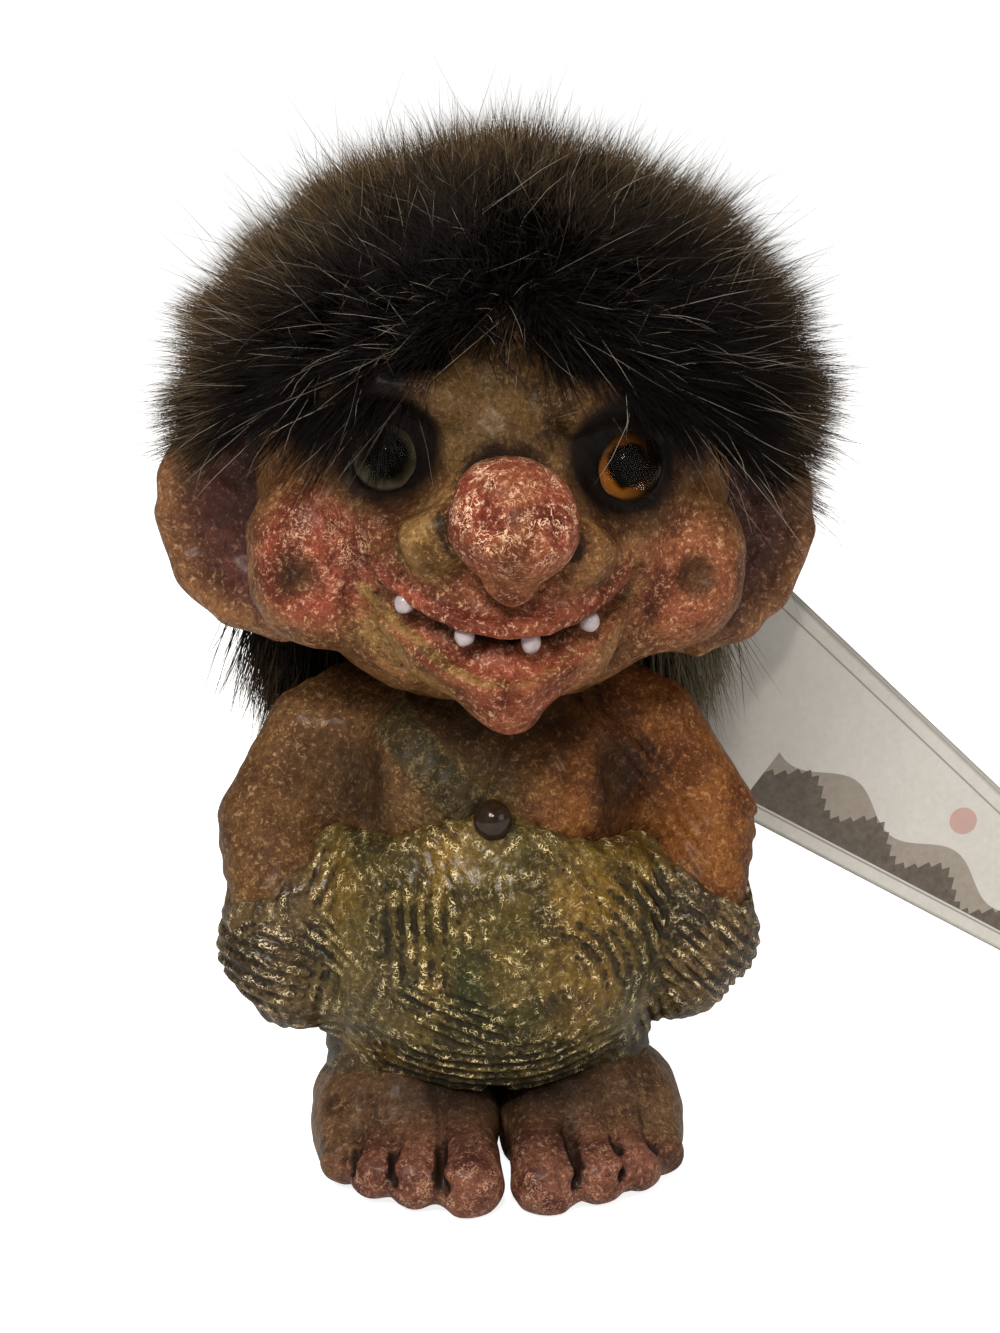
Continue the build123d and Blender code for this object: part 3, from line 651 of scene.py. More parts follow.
def ear_form(side):
    """An ear as a field: a rounded disc with a rolled rim, a dish sunk in its face, and a lobe."""

    def field(p):
        across, height, front = on_ear(side, p)
        reach = np.hypot(across, height)
        disc = np.hypot(np.maximum(reach - 13.4, 0), np.abs(front) * 0.9) - 3.1
        rim = np.hypot(reach - 14.4, front - 1.8) - 2.3
        own = np.stack([across, front, height], 1)
        lobe = limb(own, (3.0, 0.5, -11.0), (0.0, 1.0, -12.6), 4.4, 3.6)
        ear = merge(merge(disc, rim, 1.8), lobe, 2.5)
        turn = np.arctan2(height, across)
        from_fold = np.hypot(across - 1.5, height + 0.5) - 8.4 - 0.8 * np.sin(turn * 2)
        ring = np.hypot(from_fold, front - 2.4) - 1.1
        ear = merge(ear, ring, 1.6)
        pit = ball(np.stack([across * 0.8, height * 0.7, front], 1), (-2.4, -1.5, 4.6), 4.2)
        ear = carve(ear, pit, 2.0)
        ridges = 0.22 * np.sin(turn * 13 + 2.5 * noise(p, 5.0, 8)) * np.clip((reach - 4) / 5, 0, 1)
        return ear + ridges * (front > 0) + 0.20 * noise(p, 3.5, 9)

    return field


ear_paint = painted(
    "ear_paint",
    [
        ("all", (0.120, 0.050, 0.026, 1), (0.065, 0.025, 0.015, 1), (0.420, 0.230, 0.120, 1)),
        ("rim", (0.230, 0.105, 0.045, 1), (0.140, 0.058, 0.026, 1), (0.540, 0.320, 0.160, 1)),
        ("inside", (0.055, 0.020, 0.015, 1), (0.085, 0.030, 0.022, 1), (0.240, 0.120, 0.080, 1)),
    ],
    scale=1100.0,
    brush=0.65,
    wash_and_shade=0.95,
    gloss=0.10,
    bump=0.9,
)
for side, word in ((-1, "left"), (1, "right")):
    form = ear_form(side)
    middle, room = np.array(EAR_MIDDLES[side]), (20, 12, 20)
    points, faces = skin_of(form, middle - room, middle + room, 0.5)
    ear = mesh_piece(word + "_ear_skin", points, faces, ear_paint)
    # Painted shade in the ear's folds and dish.
    mark(ear, "fold_shade", hollowness(form, points))
    mark(ear, "painted_glint", np.zeros(len(points)))
    across, height, front = on_ear(side, points)
    reach = np.hypot(across, height)
    mark(ear, "rim", np.clip((reach - 12.5) / 2.0, 0, 1))
    mark(ear, "inside", np.clip((12.5 - reach) / 3.0, 0, 1) * (front > 0))
    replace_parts(ear, word + "_ear")


# --- Torso and arms --------------------------------------------------------------------------
# The upper casting: sloping shoulders, arms that run down into the trouser pockets, and deep
# hollows between arm and chest. It is brushed tan on the left and orange-brown on the right.


WAIST_ACROSS = (
    -36, -29.5, -24.6, -23.6, -18.7, -13.4, -8.5, -3.4, 0.4, 6.8, 12.1, 18.9, 26.2, 32.2,
)
WAIST_UP = (
    37.1, 39.4, 43.0, 47.6, 47.0, 48.2, 51.0, 52.0, 51.6, 48.8, 46.7, 44.9, 39.7, 35.5,
)
LEFT_HOLLOW = [
    (-20.5, -15.5, 60.0), (-21.5, -16.0, 54.5), (-22.0, -18.0, 48.5), (-25.5, -19.5, 43.0),
]
RIGHT_HOLLOW = [
    (15.5, -17.5, 59.5), (18.0, -16.5, 55.0), (19.8, -17.5, 49.5), (23.5, -19.0, 43.0),
]
CREASE = [(5.0, -22.5, 50.0), (11.0, -22.0, 52.0), (16.5, -18.0, 57.5)]


BODY_MIDDLE = -1


def to_side(side, places):
    """Places given by their distance from the body's middle plane, moved to one side of it."""
    return [(BODY_MIDDLE + side * away, y, z) for away, y, z in places]


def torso_form(p):
    """The torso's skin: a chest with two breasts of fat, shoulders and arms, and its hollows."""
    skin = ball(p, (-1, 0.5, 48), 21)
    skin = merge(skin, limb(p, (-1, 0, 55), (-0.5, -3, 66), 15, 11), 6)
    for side in (-1, 1):
        shoulder, *arm = to_side(side, [(16.6, 1, 56), (28.0, -1.4, 43.5), (27.4, -8.0, 36.5)])
        skin = merge(skin, ball(p, shoulder, 9.6), 6)
        skin = merge(skin, chain(p, [shoulder, *arm], (9.4, 8.0, 6.8)), 3.5)
        fore = to_side(side, [(23.0, -2.5, 58.5), (29.8, -5.0, 47.0), (29.0, -8.0, 38.0)])
        skin = merge(skin, chain(p, fore, (5.8, 6.0, 5.2)), 2.5)
        (breast,) = to_side(side, [(8.5, -11.0, 53.5)])
        skin = merge(skin, ball(p, breast, 9.6), 4)
    skin = carve(skin, chain(p, LEFT_HOLLOW, (3.2, 5.4, 5.2, 3.4)), 3.0)
    skin = carve(skin, chain(p, RIGHT_HOLLOW, (2.6, 4.8, 5.2, 3.2)), 2.4)
    skin = carve(skin, chain(p, CREASE, (0.7, 1.2, 0.8)), 1.6)
    waist = np.interp(p[:, 0], WAIST_ACROSS, WAIST_UP).astype(np.float32) - 3.0
    skin = -merge(-skin, p[:, 2] - waist, 1.0)
    flow = p[:, 0] * np.where(p[:, 0] > 0, 0.85, -0.75) + p[:, 2] * 0.55
    strokes = 0.20 * np.sin(flow * 2.9 + 1.6 * noise(p, 6.0, 12))
    strokes *= np.clip(noise(p, 9.0, 13) + 0.5, 0, 1)
    lumps = 0.40 * noise(p, 6.0, 10) + 0.18 * noise(p, 2.4, 11)
    return skin + lumps + strokes


torso_paint = painted(
    "torso_paint",
    [
        ("all", (0.135, 0.066, 0.024, 1), (0.090, 0.040, 0.015, 1), (0.500, 0.320, 0.150, 1)),
        ("warm", (0.195, 0.070, 0.018, 1), (0.115, 0.036, 0.010, 1), (0.560, 0.290, 0.110, 1)),
        ("moss", (0.052, 0.034, 0.010, 1), (0.030, 0.020, 0.008, 1), (0.230, 0.160, 0.070, 1)),
        ("shade", (0.022, 0.012, 0.006, 1), (0.012, 0.007, 0.004, 1), (0.060, 0.036, 0.018, 1)),
    ],
    scale=1200.0,
    brush=0.50,
    wash_and_shade=0.98,
    gloss=0.08,
    bump=1.0,
)
points, faces = skin_of(torso_form, (-42, -27, 26), (41, 26, 80), 0.5)
torso = mesh_piece("torso_skin", points, faces, torso_paint)
# Painted shade in the creases of the torso.
mark(torso, "fold_shade", hollowness(torso_form, points))
mark(torso, "warm", np.clip((points[:, 0] - 1) / 8, 0, 1))
mark(torso, "moss", 0.9 * patch(points, (-5.0, -22.0, 53.5), 6.5, 6.0))
in_hollow = np.minimum(
    chain(points, LEFT_HOLLOW, (4.2, 6.6, 6.2, 4.4)),
    chain(points, RIGHT_HOLLOW, (3.4, 5.8, 6.2, 4.2)),
)
shade = 0.9 * np.clip(0.66 - in_hollow / 5.0, 0, 1)
under_chin = np.clip((points[:, 2] - 55) / 7, 0, 1) * np.clip(1.5 - np.abs(points[:, 0]) / 14, 0, 1)
mark(torso, "shade", np.maximum(shade, 0.85 * under_chin * (points[:, 1] < 0)))
# A painted highlight: cream glints on the upper chest.
mark(torso, "painted_glint", 0.5 * patch(points, (-9.0, -22.0, 56.0), 5.0, 5.0))
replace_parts(torso, "torso")


# --- Trousers --------------------------------------------------------------------------------
# The lower casting: a round belly over two short legs, with a bulging pocket at each side. The
# master was scratched in hatched patches. The lacquer is olive and gold, with cream glints painted
# on every ridge and painted shade in the grooves and under the belly.

def hatch(p):
    """The scratched patches of the belly as a height in millimetres: in each patch a sine across
    its strokes, bent by noise, and patches that fade into each other at their edges."""
    x, z = p[:, 0], p[:, 2]
    bend = noise(p, 5.0, 21) * 1.4
    rough = noise(p, 1.6, 22)

    def strokes(phase, spacing):
        wave = np.sin(phase * 2 * np.pi / spacing + bend)
        return wave + 0.35 * rough

    def zone(cx, cz, rx, rz, turn=0.0):
        c, s = np.cos(turn), np.sin(turn)
        u, w = (x - cx) * c + (z - cz) * s, (z - cz) * c - (x - cx) * s
        return np.clip(1.6 - 1.6 * np.hypot(u / rx, w / rz) ** 2, 0, 1)

    patchwork = np.zeros(len(p), np.float32)
    nearest = np.full(len(p), 99.0, np.float32)
    for row in range(7):
        for column in range(11):
            cell = np.random.default_rng(row * 11 + column)
            cx, cz = cell.uniform(-2, 2, 2) + (column * 7.6 - 39, row * 7.4 + 5)
            turn = cell.uniform(0, np.pi)
            away = np.hypot(x - float(cx), z - float(cz))
            own = away < nearest
            wave = strokes(x * np.cos(turn) + z * np.sin(turn), 1.6)
            wave = wave * np.clip(1.5 - away / 4.2, 0, 1)
            patchwork = np.where(own, wave, patchwork)
            nearest = np.minimum(nearest, away)
    away_x = x - BODY_MIDDLE
    bowl = np.hypot(away_x * 0.86, z - 46)
    under_belly = np.clip((24.5 - z) / 5, 0, 1) * np.clip((17 - np.abs(away_x)) / 6, 0, 1)
    low = strokes(bowl, 1.55) * under_belly
    upright = strokes(x, 1.85) * zone(-10.5, 37.0, 8.0, 9.0)
    slanted = strokes(z + x * 0.45, 1.8) * zone(-6.5, 26.5, 9.5, 5.0, -0.4)
    curved = strokes(np.hypot(x - 2.0, z - 27.0), 1.7) * zone(15.0, 36.0, 9.0, 9.5)
    right_pocket = strokes(x * 0.72 + z * 0.72, 1.6) * zone(29.0, 29.0, 9.0, 9.0)
    left_pocket = strokes(z * 0.9 + x * 0.3, 1.8) * zone(-32.0, 29.0, 8.5, 8.0)
    patches = np.stack([low, upright, slanted, curved, right_pocket, left_pocket, 0.55 * patchwork])
    strongest = np.take_along_axis(patches, np.abs(patches).argmax(0)[None], 0)[0]
    return 0.27 * strongest + 0.08 * rough


def trouser_form(p):
    """The trousers' skin: belly, pockets, seat and legs, with the waist's edge and the hems."""
    x, z = p[:, 0], p[:, 2]
    skin = ball(p, (-1, -3.5, 33.5), 25.6)
    for side in (-1, 1):
        pocket = to_side(side, [(26.5, -8.0, 37.5), (27.3, -8.2, 31.0), (25.0, -7.5, 26.5)])
        skin = merge(skin, chain(p, pocket, (8.3, 9.0, 8.2)), 3.5)
        leg = to_side(side, [(11.4, -5.0, 19), (11.6, -6.0, 8)])
        skin = merge(skin, limb(p, *leg, 11.0, 9.8), 2.2)
    waist = np.interp(x, WAIST_ACROSS, WAIST_UP).astype(np.float32)
    rise = np.clip((-p[:, 1] - 2) / 8, 0, 1)
    waist = waist * rise + (1 - rise) * 47.0 + 0.35 * noise(p, 3.0, 25)
    skin = -merge(-skin, waist - z, 1.2)
    hem = 9.6 + 0.5 * noise(p, 4.0, 26) + np.clip((np.abs(x - BODY_MIDDLE) - 8) * -0.5, 0, 4.0)
    skin = -merge(-skin, z - hem, 1.2)
    flap = np.abs(np.abs((x - 7.4) * 0.96 + (z - 40) * 0.27) - 1.9)
    outline = np.clip(0.5 - flap, 0, 0.5) * (np.abs(z - 40 - (x - 7.4) * 0.27) < 5.4)
    front = np.clip((-p[:, 1] - 1) / 5, 0, 1)
    lumps = 0.25 * noise(p, 5.0, 23) + 0.10 * noise(p, 1.3, 24)
    return skin + lumps - hatch(p) * (0.35 + 0.65 * front) - 0.3 * outline * front


trouser_paint = painted(
    "trouser_lacquer",
    [
        # The dry brush, the third colour of each layer, also gives the cream of the painted glints.
        ("all", (0.098, 0.068, 0.016, 1), (0.040, 0.030, 0.008, 1), (0.740, 0.590, 0.310, 1)),
        ("gold", (0.180, 0.100, 0.014, 1), (0.075, 0.040, 0.006, 1), (0.800, 0.620, 0.320, 1)),
        ("green", (0.028, 0.030, 0.006, 1), (0.014, 0.016, 0.004, 1), (0.600, 0.500, 0.240, 1)),
        ("pocket", (0.110, 0.068, 0.028, 1), (0.040, 0.025, 0.011, 1), (0.740, 0.610, 0.380, 1)),
        # Painted shade: the dark layer laid on the legs under the belly.
        ("under", (0.022, 0.016, 0.007, 1), (0.014, 0.010, 0.005, 1), (0.200, 0.150, 0.080, 1)),
    ],
    scale=1300.0,
    brush=0.22,
    wash_and_shade=0.90,
    gloss=0.22,
    bump=0.8,
    wash=(0.012, 0.009, 0.004, 1),
)
points, faces = skin_of(trouser_form, (-43, -34, 5), (42, 27, 55), 0.45)
trousers = mesh_piece("trouser_skin", points, faces, trouser_paint)
ridge = hatch(points)
# Painted shade in the creases and grooves, taken off the ridges of the hatching.
mark(trousers, "fold_shade", np.clip(hollowness(trouser_form, points) - 0.9 * ridge, 0, 1))
rich = np.maximum(patch(points, (11, -24, 40), 7.0, 7.0), patch(points, (11, -27, 29), 6.0, 6.0))
mark(trousers, "gold", np.maximum(0.8 * np.clip(noise(points, 8.0, 31) * 1.4 + 0.1, 0, 1), rich))
mossy = np.clip(noise(points, 5.0, 32) + 0.5, 0, 1)
mark(trousers, "green", patch(points, (-3, -28, 31), 10.0, 8.0) * mossy)
mark(trousers, "pocket", np.clip((np.abs(points[:, 0] - BODY_MIDDLE) - 20) / 6, 0, 1))
# Painted shade on the legs, under the overhang of the belly.
belly_shadow = np.clip((19 - points[:, 2]) / 3, 0, 1) * np.clip((points[:, 1] + 22.5) / 2, 0, 1)
mark(trousers, "under", 0.75 * belly_shadow)
# Painted highlights: cream glints on the ridges of the hatching, in front.
mark(trousers, "painted_glint", np.clip(0.25 + 9.0 * ridge, 0, 2.0) * (points[:, 1] < 6))
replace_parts(trousers, "trousers")


# --- Feet ------------------------------------------------------------------------------------
# Two broad bare feet with four toes each, cast with small nails. They are the darkest skin on
# the figure, with the toes brushed dull red.


def foot_form(side):
    """A foot as a field: heel, instep and four toes with a nail on each, cut flat underneath. The
    toes lie close, joined along their length, with grooves between that run up the instep."""
    toes = []
    for root_x, root_y, tip_x, tip_y, size in (
        (5.2, -15.0, 4.9, -28.6, 4.5),
        (11.2, -15.5, 11.9, -27.0, 3.7),
        (16.2, -14.0, 17.2, -24.2, 3.3),
        (20.2, -11.5, 21.4, -19.8, 2.9),
    ):
        toes.append(((side * root_x, root_y, 8.4), (side * tip_x, tip_y, 3.9), size))

    def field(p):
        skin = limb(p, (side * 11.4, 1.0, 4.5), (side * 12.2, -9.0, 4.5), 9.6, 12.2)
        skin = merge(skin, limb(p, (side * 8.0, -6.0, 11), (side * 8.0, -16.0, 5.5), 7.2, 6.4), 4)
        skin = merge(skin, limb(p, (side * 17.0, -4.0, 6), (side * 18.0, -13.0, 4.6), 7.6, 6.0), 4)
        for root, tip, size in toes:
            skin = merge(skin, limb(p, root, tip, size * 0.9, size), 2.4)
        for one, two in zip(toes, toes[1:]):
            start = (np.array(one[0]) + two[0]) / 2 + (0, -3.5, 4.6)
            end = (np.array(one[1]) + two[1]) / 2 + (0, -3.0, 0.6)
            skin = carve(skin, limb(p, start, end, 0.1, 0.35), 1.4)
        for root, tip, size in toes:
            nail = ball(p, (tip[0], tip[1] - size * 0.80, tip[2] + size * 0.55), size * 0.52)
            skin = skin - 0.16 * np.exp(-((nail / 0.30) ** 2))
        skin = np.maximum(skin, side * -p[:, 0] + 0.15)
        skin = skin + 0.26 * noise(p, 4.0, 41) + 0.12 * noise(p, 1.6, 42)
        return -merge(-skin, p[:, 2], 0.6)

    return field


foot_paint = painted(
    "foot_paint",
    [
        ("all", (0.135, 0.072, 0.034, 1), (0.060, 0.030, 0.015, 1), (0.330, 0.200, 0.105, 1)),
        ("toe", (0.175, 0.066, 0.040, 1), (0.085, 0.028, 0.019, 1), (0.500, 0.280, 0.180, 1)),
        ("shade", (0.022, 0.012, 0.008, 1), (0.012, 0.007, 0.005, 1), (0.070, 0.045, 0.028, 1)),
    ],
    scale=1200.0,
    brush=0.60,
    wash_and_shade=0.98,
    gloss=0.08,
    bump=0.9,
)
for side, word in ((-1, "left"), (1, "right")):
    form = foot_form(side)
    left_edge, right_edge = (-27, 2) if side < 0 else (-2, 27)
    points, faces = skin_of(form, (left_edge, -36, -2), (right_edge, 13, 20), 0.45)
    foot = mesh_piece(word + "_foot_skin", points, faces, foot_paint)
    # Painted shade in the folds of the feet.
    mark(foot, "fold_shade", hollowness(form, points))
    mark(foot, "toe", np.clip((-points[:, 1] - 20) / 6, 0, 1))
    instep = np.clip(1.5 - np.abs(points[:, 0]) / 16, 0, 1)
    mark(foot, "shade", np.clip((points[:, 2] - 6.5) / 6, 0, 1) * instep)
    # Painted highlights: cream glints on the tips of the toes.
    mark(foot, "painted_glint", 0.8 * np.clip((-points[:, 1] - 24) / 4, 0, 1))
    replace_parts(foot, word + "_foot")


# --- Eyes ------------------------------------------------------------------------------------
# Two bought glass eyes: a clear dome, flat behind, with the iris painted on the flat and a black
# pupil. A wire loop behind each holds it in the soft filling. The left iris is painted darker and
# greyer as in shade, and each iris is painted lighter on one side, where light falls on it.


def turned(profile, place, axis, turns=40):
    """A turned form: a profile of (distance along the axis, radius) carried round the axis. Its
    first and last points lie on the axis, where the rings close."""
    axis = np.array(axis, float) / np.linalg.norm(axis)
    across = np.cross(axis, (0.3, 0.2, 1.0))
    across /= np.linalg.norm(across)
    over = np.cross(axis, across)
    turn = np.linspace(0, 2 * np.pi, turns, endpoint=False)
    round_way = np.cos(turn)[:, None] * across + np.sin(turn)[:, None] * over
    inner = np.array(profile[1:-1], float)
    rings = inner[:, 0, None, None] * axis + inner[:, 1, None, None] * round_way
    ends = np.array([profile[0][0] * axis, profile[-1][0] * axis])
    points = np.concatenate([rings.reshape(-1, 3), ends]) + np.array(place)
    first, last = len(points) - 2, len(points) - 1
    row = np.arange(turns)
    after = (row + 1) % turns
    faces = []
    for ring in range(len(inner) - 1):
        a, b = ring * turns, (ring + 1) * turns
        faces.append(np.stack([a + row, a + after, b + after], 1))
        faces.append(np.stack([a + row, b + after, b + row], 1))
    end = (len(inner) - 1) * turns
    faces.append(np.stack([np.full(turns, first), after, row], 1))
    faces.append(np.stack([np.full(turns, last), end + row, end + after], 1))
    return points, np.concatenate(faces)


clear_glass, tree, shader = new_material("eye_glass")
set_sockets(shader, Base_Color=(0.97, 0.98, 0.96, 1), IOR=1.10, Transmission_Weight=1.0)
set_sockets(shader, Specular_IOR_Level=0.1, Coat_Weight=0.05)
smear = tree.nodes.new("ShaderNodeMapRange")
set_sockets(smear, From_Min=0.4, From_Max=0.8, To_Min=0.0, To_Max=0.02)
tree.links.new(noise_socket(tree, 350.0), smear.inputs["Value"])
tree.links.new(smear.outputs["Result"], shader.inputs["Roughness"])
lamp_ray = tree.nodes.new("ShaderNodeLightPath").outputs["Is Shadow Ray"]
tree.links.new(maths_in(tree)("SUBTRACT", 1.0, lamp_ray), shader.inputs["Alpha"])


def iris_material(name, inner, middle, rim):
    """A painted iris: its colours run from the pupil outwards, streaked by a noise, and fall back
    to the inner colour where the lit mark is low: painted light and shade across the iris.
    """
    material, tree, shader = new_material(name)
    maths = maths_in(tree)
    streak = maths("MULTIPLY", noise_socket(tree, 700.0, Detail=3.0), 0.35)
    shifted = maths("ADD", streak, attribute(tree, "ring"))
    ramp = tree.nodes.new("ShaderNodeValToRGB")
    stops = ramp.color_ramp.elements
    stops[0].position, stops[0].color = 0.70, inner
    stops[1].position, stops[1].color = 1.0, rim
    stops.new(0.84).color = middle
    tree.links.new(shifted, ramp.inputs["Fac"])
    lit = colour_mix(tree, attribute(tree, "lit"), inner, ramp.outputs["Color"])
    tree.links.new(lit, shader.inputs["Base Color"])
    set_sockets(shader, Roughness=0.8, Specular_IOR_Level=0.0)
    return material


pupil_black = speckled(
    "pupil_black",
    (0.002, 0.002, 0.002, 1),
    (0.006, 0.005, 0.005, 1),
    900.0,
    detail=2.0,
    Roughness=0.9,
    Specular_IOR_Level=0.0,
)
# The left iris is painted dark and greyish, as in shade; the right one is amber.
iris_paints = {
    "left": iris_material(
        "iris_in_shade", (0.004, 0.003, 0.002, 1), (0.030, 0.026, 0.012, 1), (0.085, 0.075, 0.050, 1)
    ),
    "right": iris_material(
        "iris_amber", (0.004, 0.002, 0.001, 1), (0.200, 0.060, 0.006, 1), (0.130, 0.048, 0.010, 1)
    ),
}
for word in ("left", "right"):
    low, high = in_mm(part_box(word + "_eye_glass"))
    radius = (high[0] - low[0]) / 2
    flat_back = (low[0] + radius, high[1], low[2] + radius)
    rise = np.linspace(0, np.pi / 2, 16)
    curve = [(radius * np.sin(a), radius * np.cos(a)) for a in rise[1:-1]]
    dome = [(0, 0), (0, radius * 0.97)] + curve + [(radius, 0)]
    glass = mesh_piece(word + "_eye_dome", *turned(dome, flat_back, (0, -1, 0)), clear_glass)
    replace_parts(glass, word + "_eye_glass")
    behind, thick = 0.14, 0.55
    rings = [(-behind, radius * share) for share in (0.985, 0.8, 0.6, 0.45, 0.3)]
    bowl = [(-thick, 0), (-thick, radius * 0.9)] + rings + [(-behind, 0)]
    points, faces = turned(bowl, flat_back, (0, -1, 0))
    iris = mesh_piece(word + "_iris", points, faces, iris_paints[word])
    mark(iris, "ring", np.hypot(points[:, 0] - flat_back[0], points[:, 2] - flat_back[2]) / radius)
    # Painted light: each iris is lighter towards minus x and shaded towards plus x, the right one
    # sharply.
    sidelong = (points[:, 0] - flat_back[0]) / radius
    lit = 0.9 - 0.2 * sidelong if word == "left" else 0.45 - 0.9 * sidelong
    mark(iris, "lit", np.clip(lit, 0, 1))
    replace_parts(iris, word + "_eye_iris")
    pupil_low, pupil_high = in_mm(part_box(word + "_eye_pupil"))
    wide = (pupil_high[0] - pupil_low[0]) / 2
    disc = [(-0.30, 0), (-0.30, wide * 0.9), (-0.12, wide), (-0.06, wide * 0.96), (-0.04, 0)]
    pupil = mesh_piece(word + "_pupil", *turned(disc, flat_back, (0, -1, 0)), pupil_black)
    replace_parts(pupil, word + "_eye_pupil")

steel = speckled(
    "wire_steel",
    (0.36, 0.36, 0.36, 1),
    (0.55, 0.54, 0.52, 1),
    1200.0,
    detail=2.0,
    Metallic=1.0,
    Roughness=0.35,
)
for word in ("left", "right"):
    refinish(word + "_eye_wire", steel)


# --- Teeth and button ------------------------------------------------------------------------
# Four small white beads pushed into the gum, a little uneven, and one black oval bead that
# closes the trousers. The beads are glossy, and the teeth have a faint pinkish cloud.

bead_white = speckled(
    "bead_white",
    (0.28, 0.23, 0.24, 1),
    (0.52, 0.46, 0.48, 1),
    900.0,
    Roughness=0.28,
    Coat_Weight=0.5,
)
for number in range(1, 5):
    low, high = in_mm(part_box(f"tooth_{number}"))
    middle, wide, tall = (low + high) / 2, (high[0] - low[0]) / 2, (high[2] - low[2]) / 2
    rise = np.linspace(-np.pi / 2, np.pi / 2, 17)
    bead = [(tall * np.sin(a), wide * np.cos(a) ** 0.7 if 0 < abs(np.cos(a)) else 0) for a in rise]
    points, faces = turned(bead, middle, (0.1 * (number - 2), 0, 1), 28)
    points = middle + (points - middle) * (1 + 0.07 * noise(points, 0.9, 70 + number))[:, None]
    tooth = mesh_piece(f"tooth_bead_{number}", points, faces, bead_white)
    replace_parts(tooth, f"tooth_{number}")

bead_black = speckled(
    "bead_black",
    (0.006, 0.004, 0.003, 1),
    (0.035, 0.018, 0.008, 1),
    1100.0,
    Roughness=0.14,
    Specular_IOR_Level=0.35,
)
low, high = in_mm(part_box("trouser_button"))
middle, half = (low + high) / 2, (high - low) / 2
rise = np.linspace(-np.pi / 2, np.pi / 2, 19)
bead = [(half[2] * np.sin(a), half[0] * np.cos(a) if abs(a) < 1.57 else 0) for a in rise]
points, faces = turned(bead, middle, (0, 0, 1), 36)
points = middle + (points - middle) * (1 + 0.05 * noise(points, 1.8, 77))[:, None]
button = mesh_piece("button_bead", points, faces, bead_black)
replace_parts(button, "trouser_button")


# --- Shoulder strap --------------------------------------------------------------------------
# A flat band in low relief from the left shoulder to the button, painted dark moss green. It is
# a thin sheet laid on the torso's skin.


def front_of(field, across, up):
    """How far forward a form's skin lies at places seen from the front: a step by the field's own
    distance, taken again and again from in front of it."""
    depth = np.full(len(across), -40.0)
    for _ in range(40):
        depth += 0.8 * field(np.stack([across, depth, up], 1).astype(np.float32))
    return depth


strap_columns, strap_rows, half_width = 44, 14, 3.0
along, beside = np.meshgrid(
    np.linspace(0, 1, strap_columns), np.linspace(-1, 1, strap_rows), indexing="ij"
)
strap_x = -14.2 + along * 11.6 + beside * half_width * 0.74
strap_z = 63.0 - along * 12.6 + beside * half_width * 0.67
seat = front_of(torso_form, strap_x.ravel(), strap_z.ravel()).reshape(strap_x.shape)
crown = 0.28 * np.clip(1 - np.abs(beside) ** 6, 0, 1)
outer = np.stack([strap_x, seat - 0.12 - crown, strap_z], -1).reshape(-1, 3)
inner = np.stack([strap_x, seat + 0.5, strap_z], -1).reshape(-1, 3)
cells, sides = sheet_faces(strap_columns, strap_rows)
strap_faces = np.concatenate([cells, cells[:, ::-1] + len(outer), sides])
strap_paint = painted(
    "strap_paint",
    [
        ("all", (0.026, 0.020, 0.009, 1), (0.045, 0.031, 0.013, 1), (0.200, 0.140, 0.065, 1)),
        ("edge", (0.060, 0.040, 0.016, 1), (0.085, 0.055, 0.022, 1), (0.340, 0.230, 0.110, 1)),
    ],
    scale=1200.0,
    brush=0.6,
    wash_and_shade=0.9,
    gloss=0.03,
    bump=0.9,
)
points = np.concatenate([outer, inner])
strap = mesh_piece("strap_band", points, strap_faces, strap_paint)
mark(strap, "fold_shade", np.zeros(len(points)))
# Painted highlights: faint cream glints all over the strap.
mark(strap, "painted_glint", np.full(len(points), 0.4))
mark(strap, "edge", np.tile(np.clip(np.abs(beside.ravel()) * 3 - 2, 0, 1), 2))
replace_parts(strap, "shoulder_strap")


# --- Tag -------------------------------------------------------------------------------------
# A folded card on a brass pin behind the right shoulder. It is pale grey board with a plain
# frame line and a printed band of hills and firs, and its cut edges are dark with handling.

TAG_TURN = np.radians(-36.4)
TAG_ALONG = np.array((np.cos(TAG_TURN), 0, np.sin(TAG_TURN)))
TAG_UP = np.array((-np.sin(TAG_TURN), 0, np.cos(TAG_TURN)))
PIN_PLACE = np.array((16.0, 0, 63.0))
PIN_HOLE = 1.2


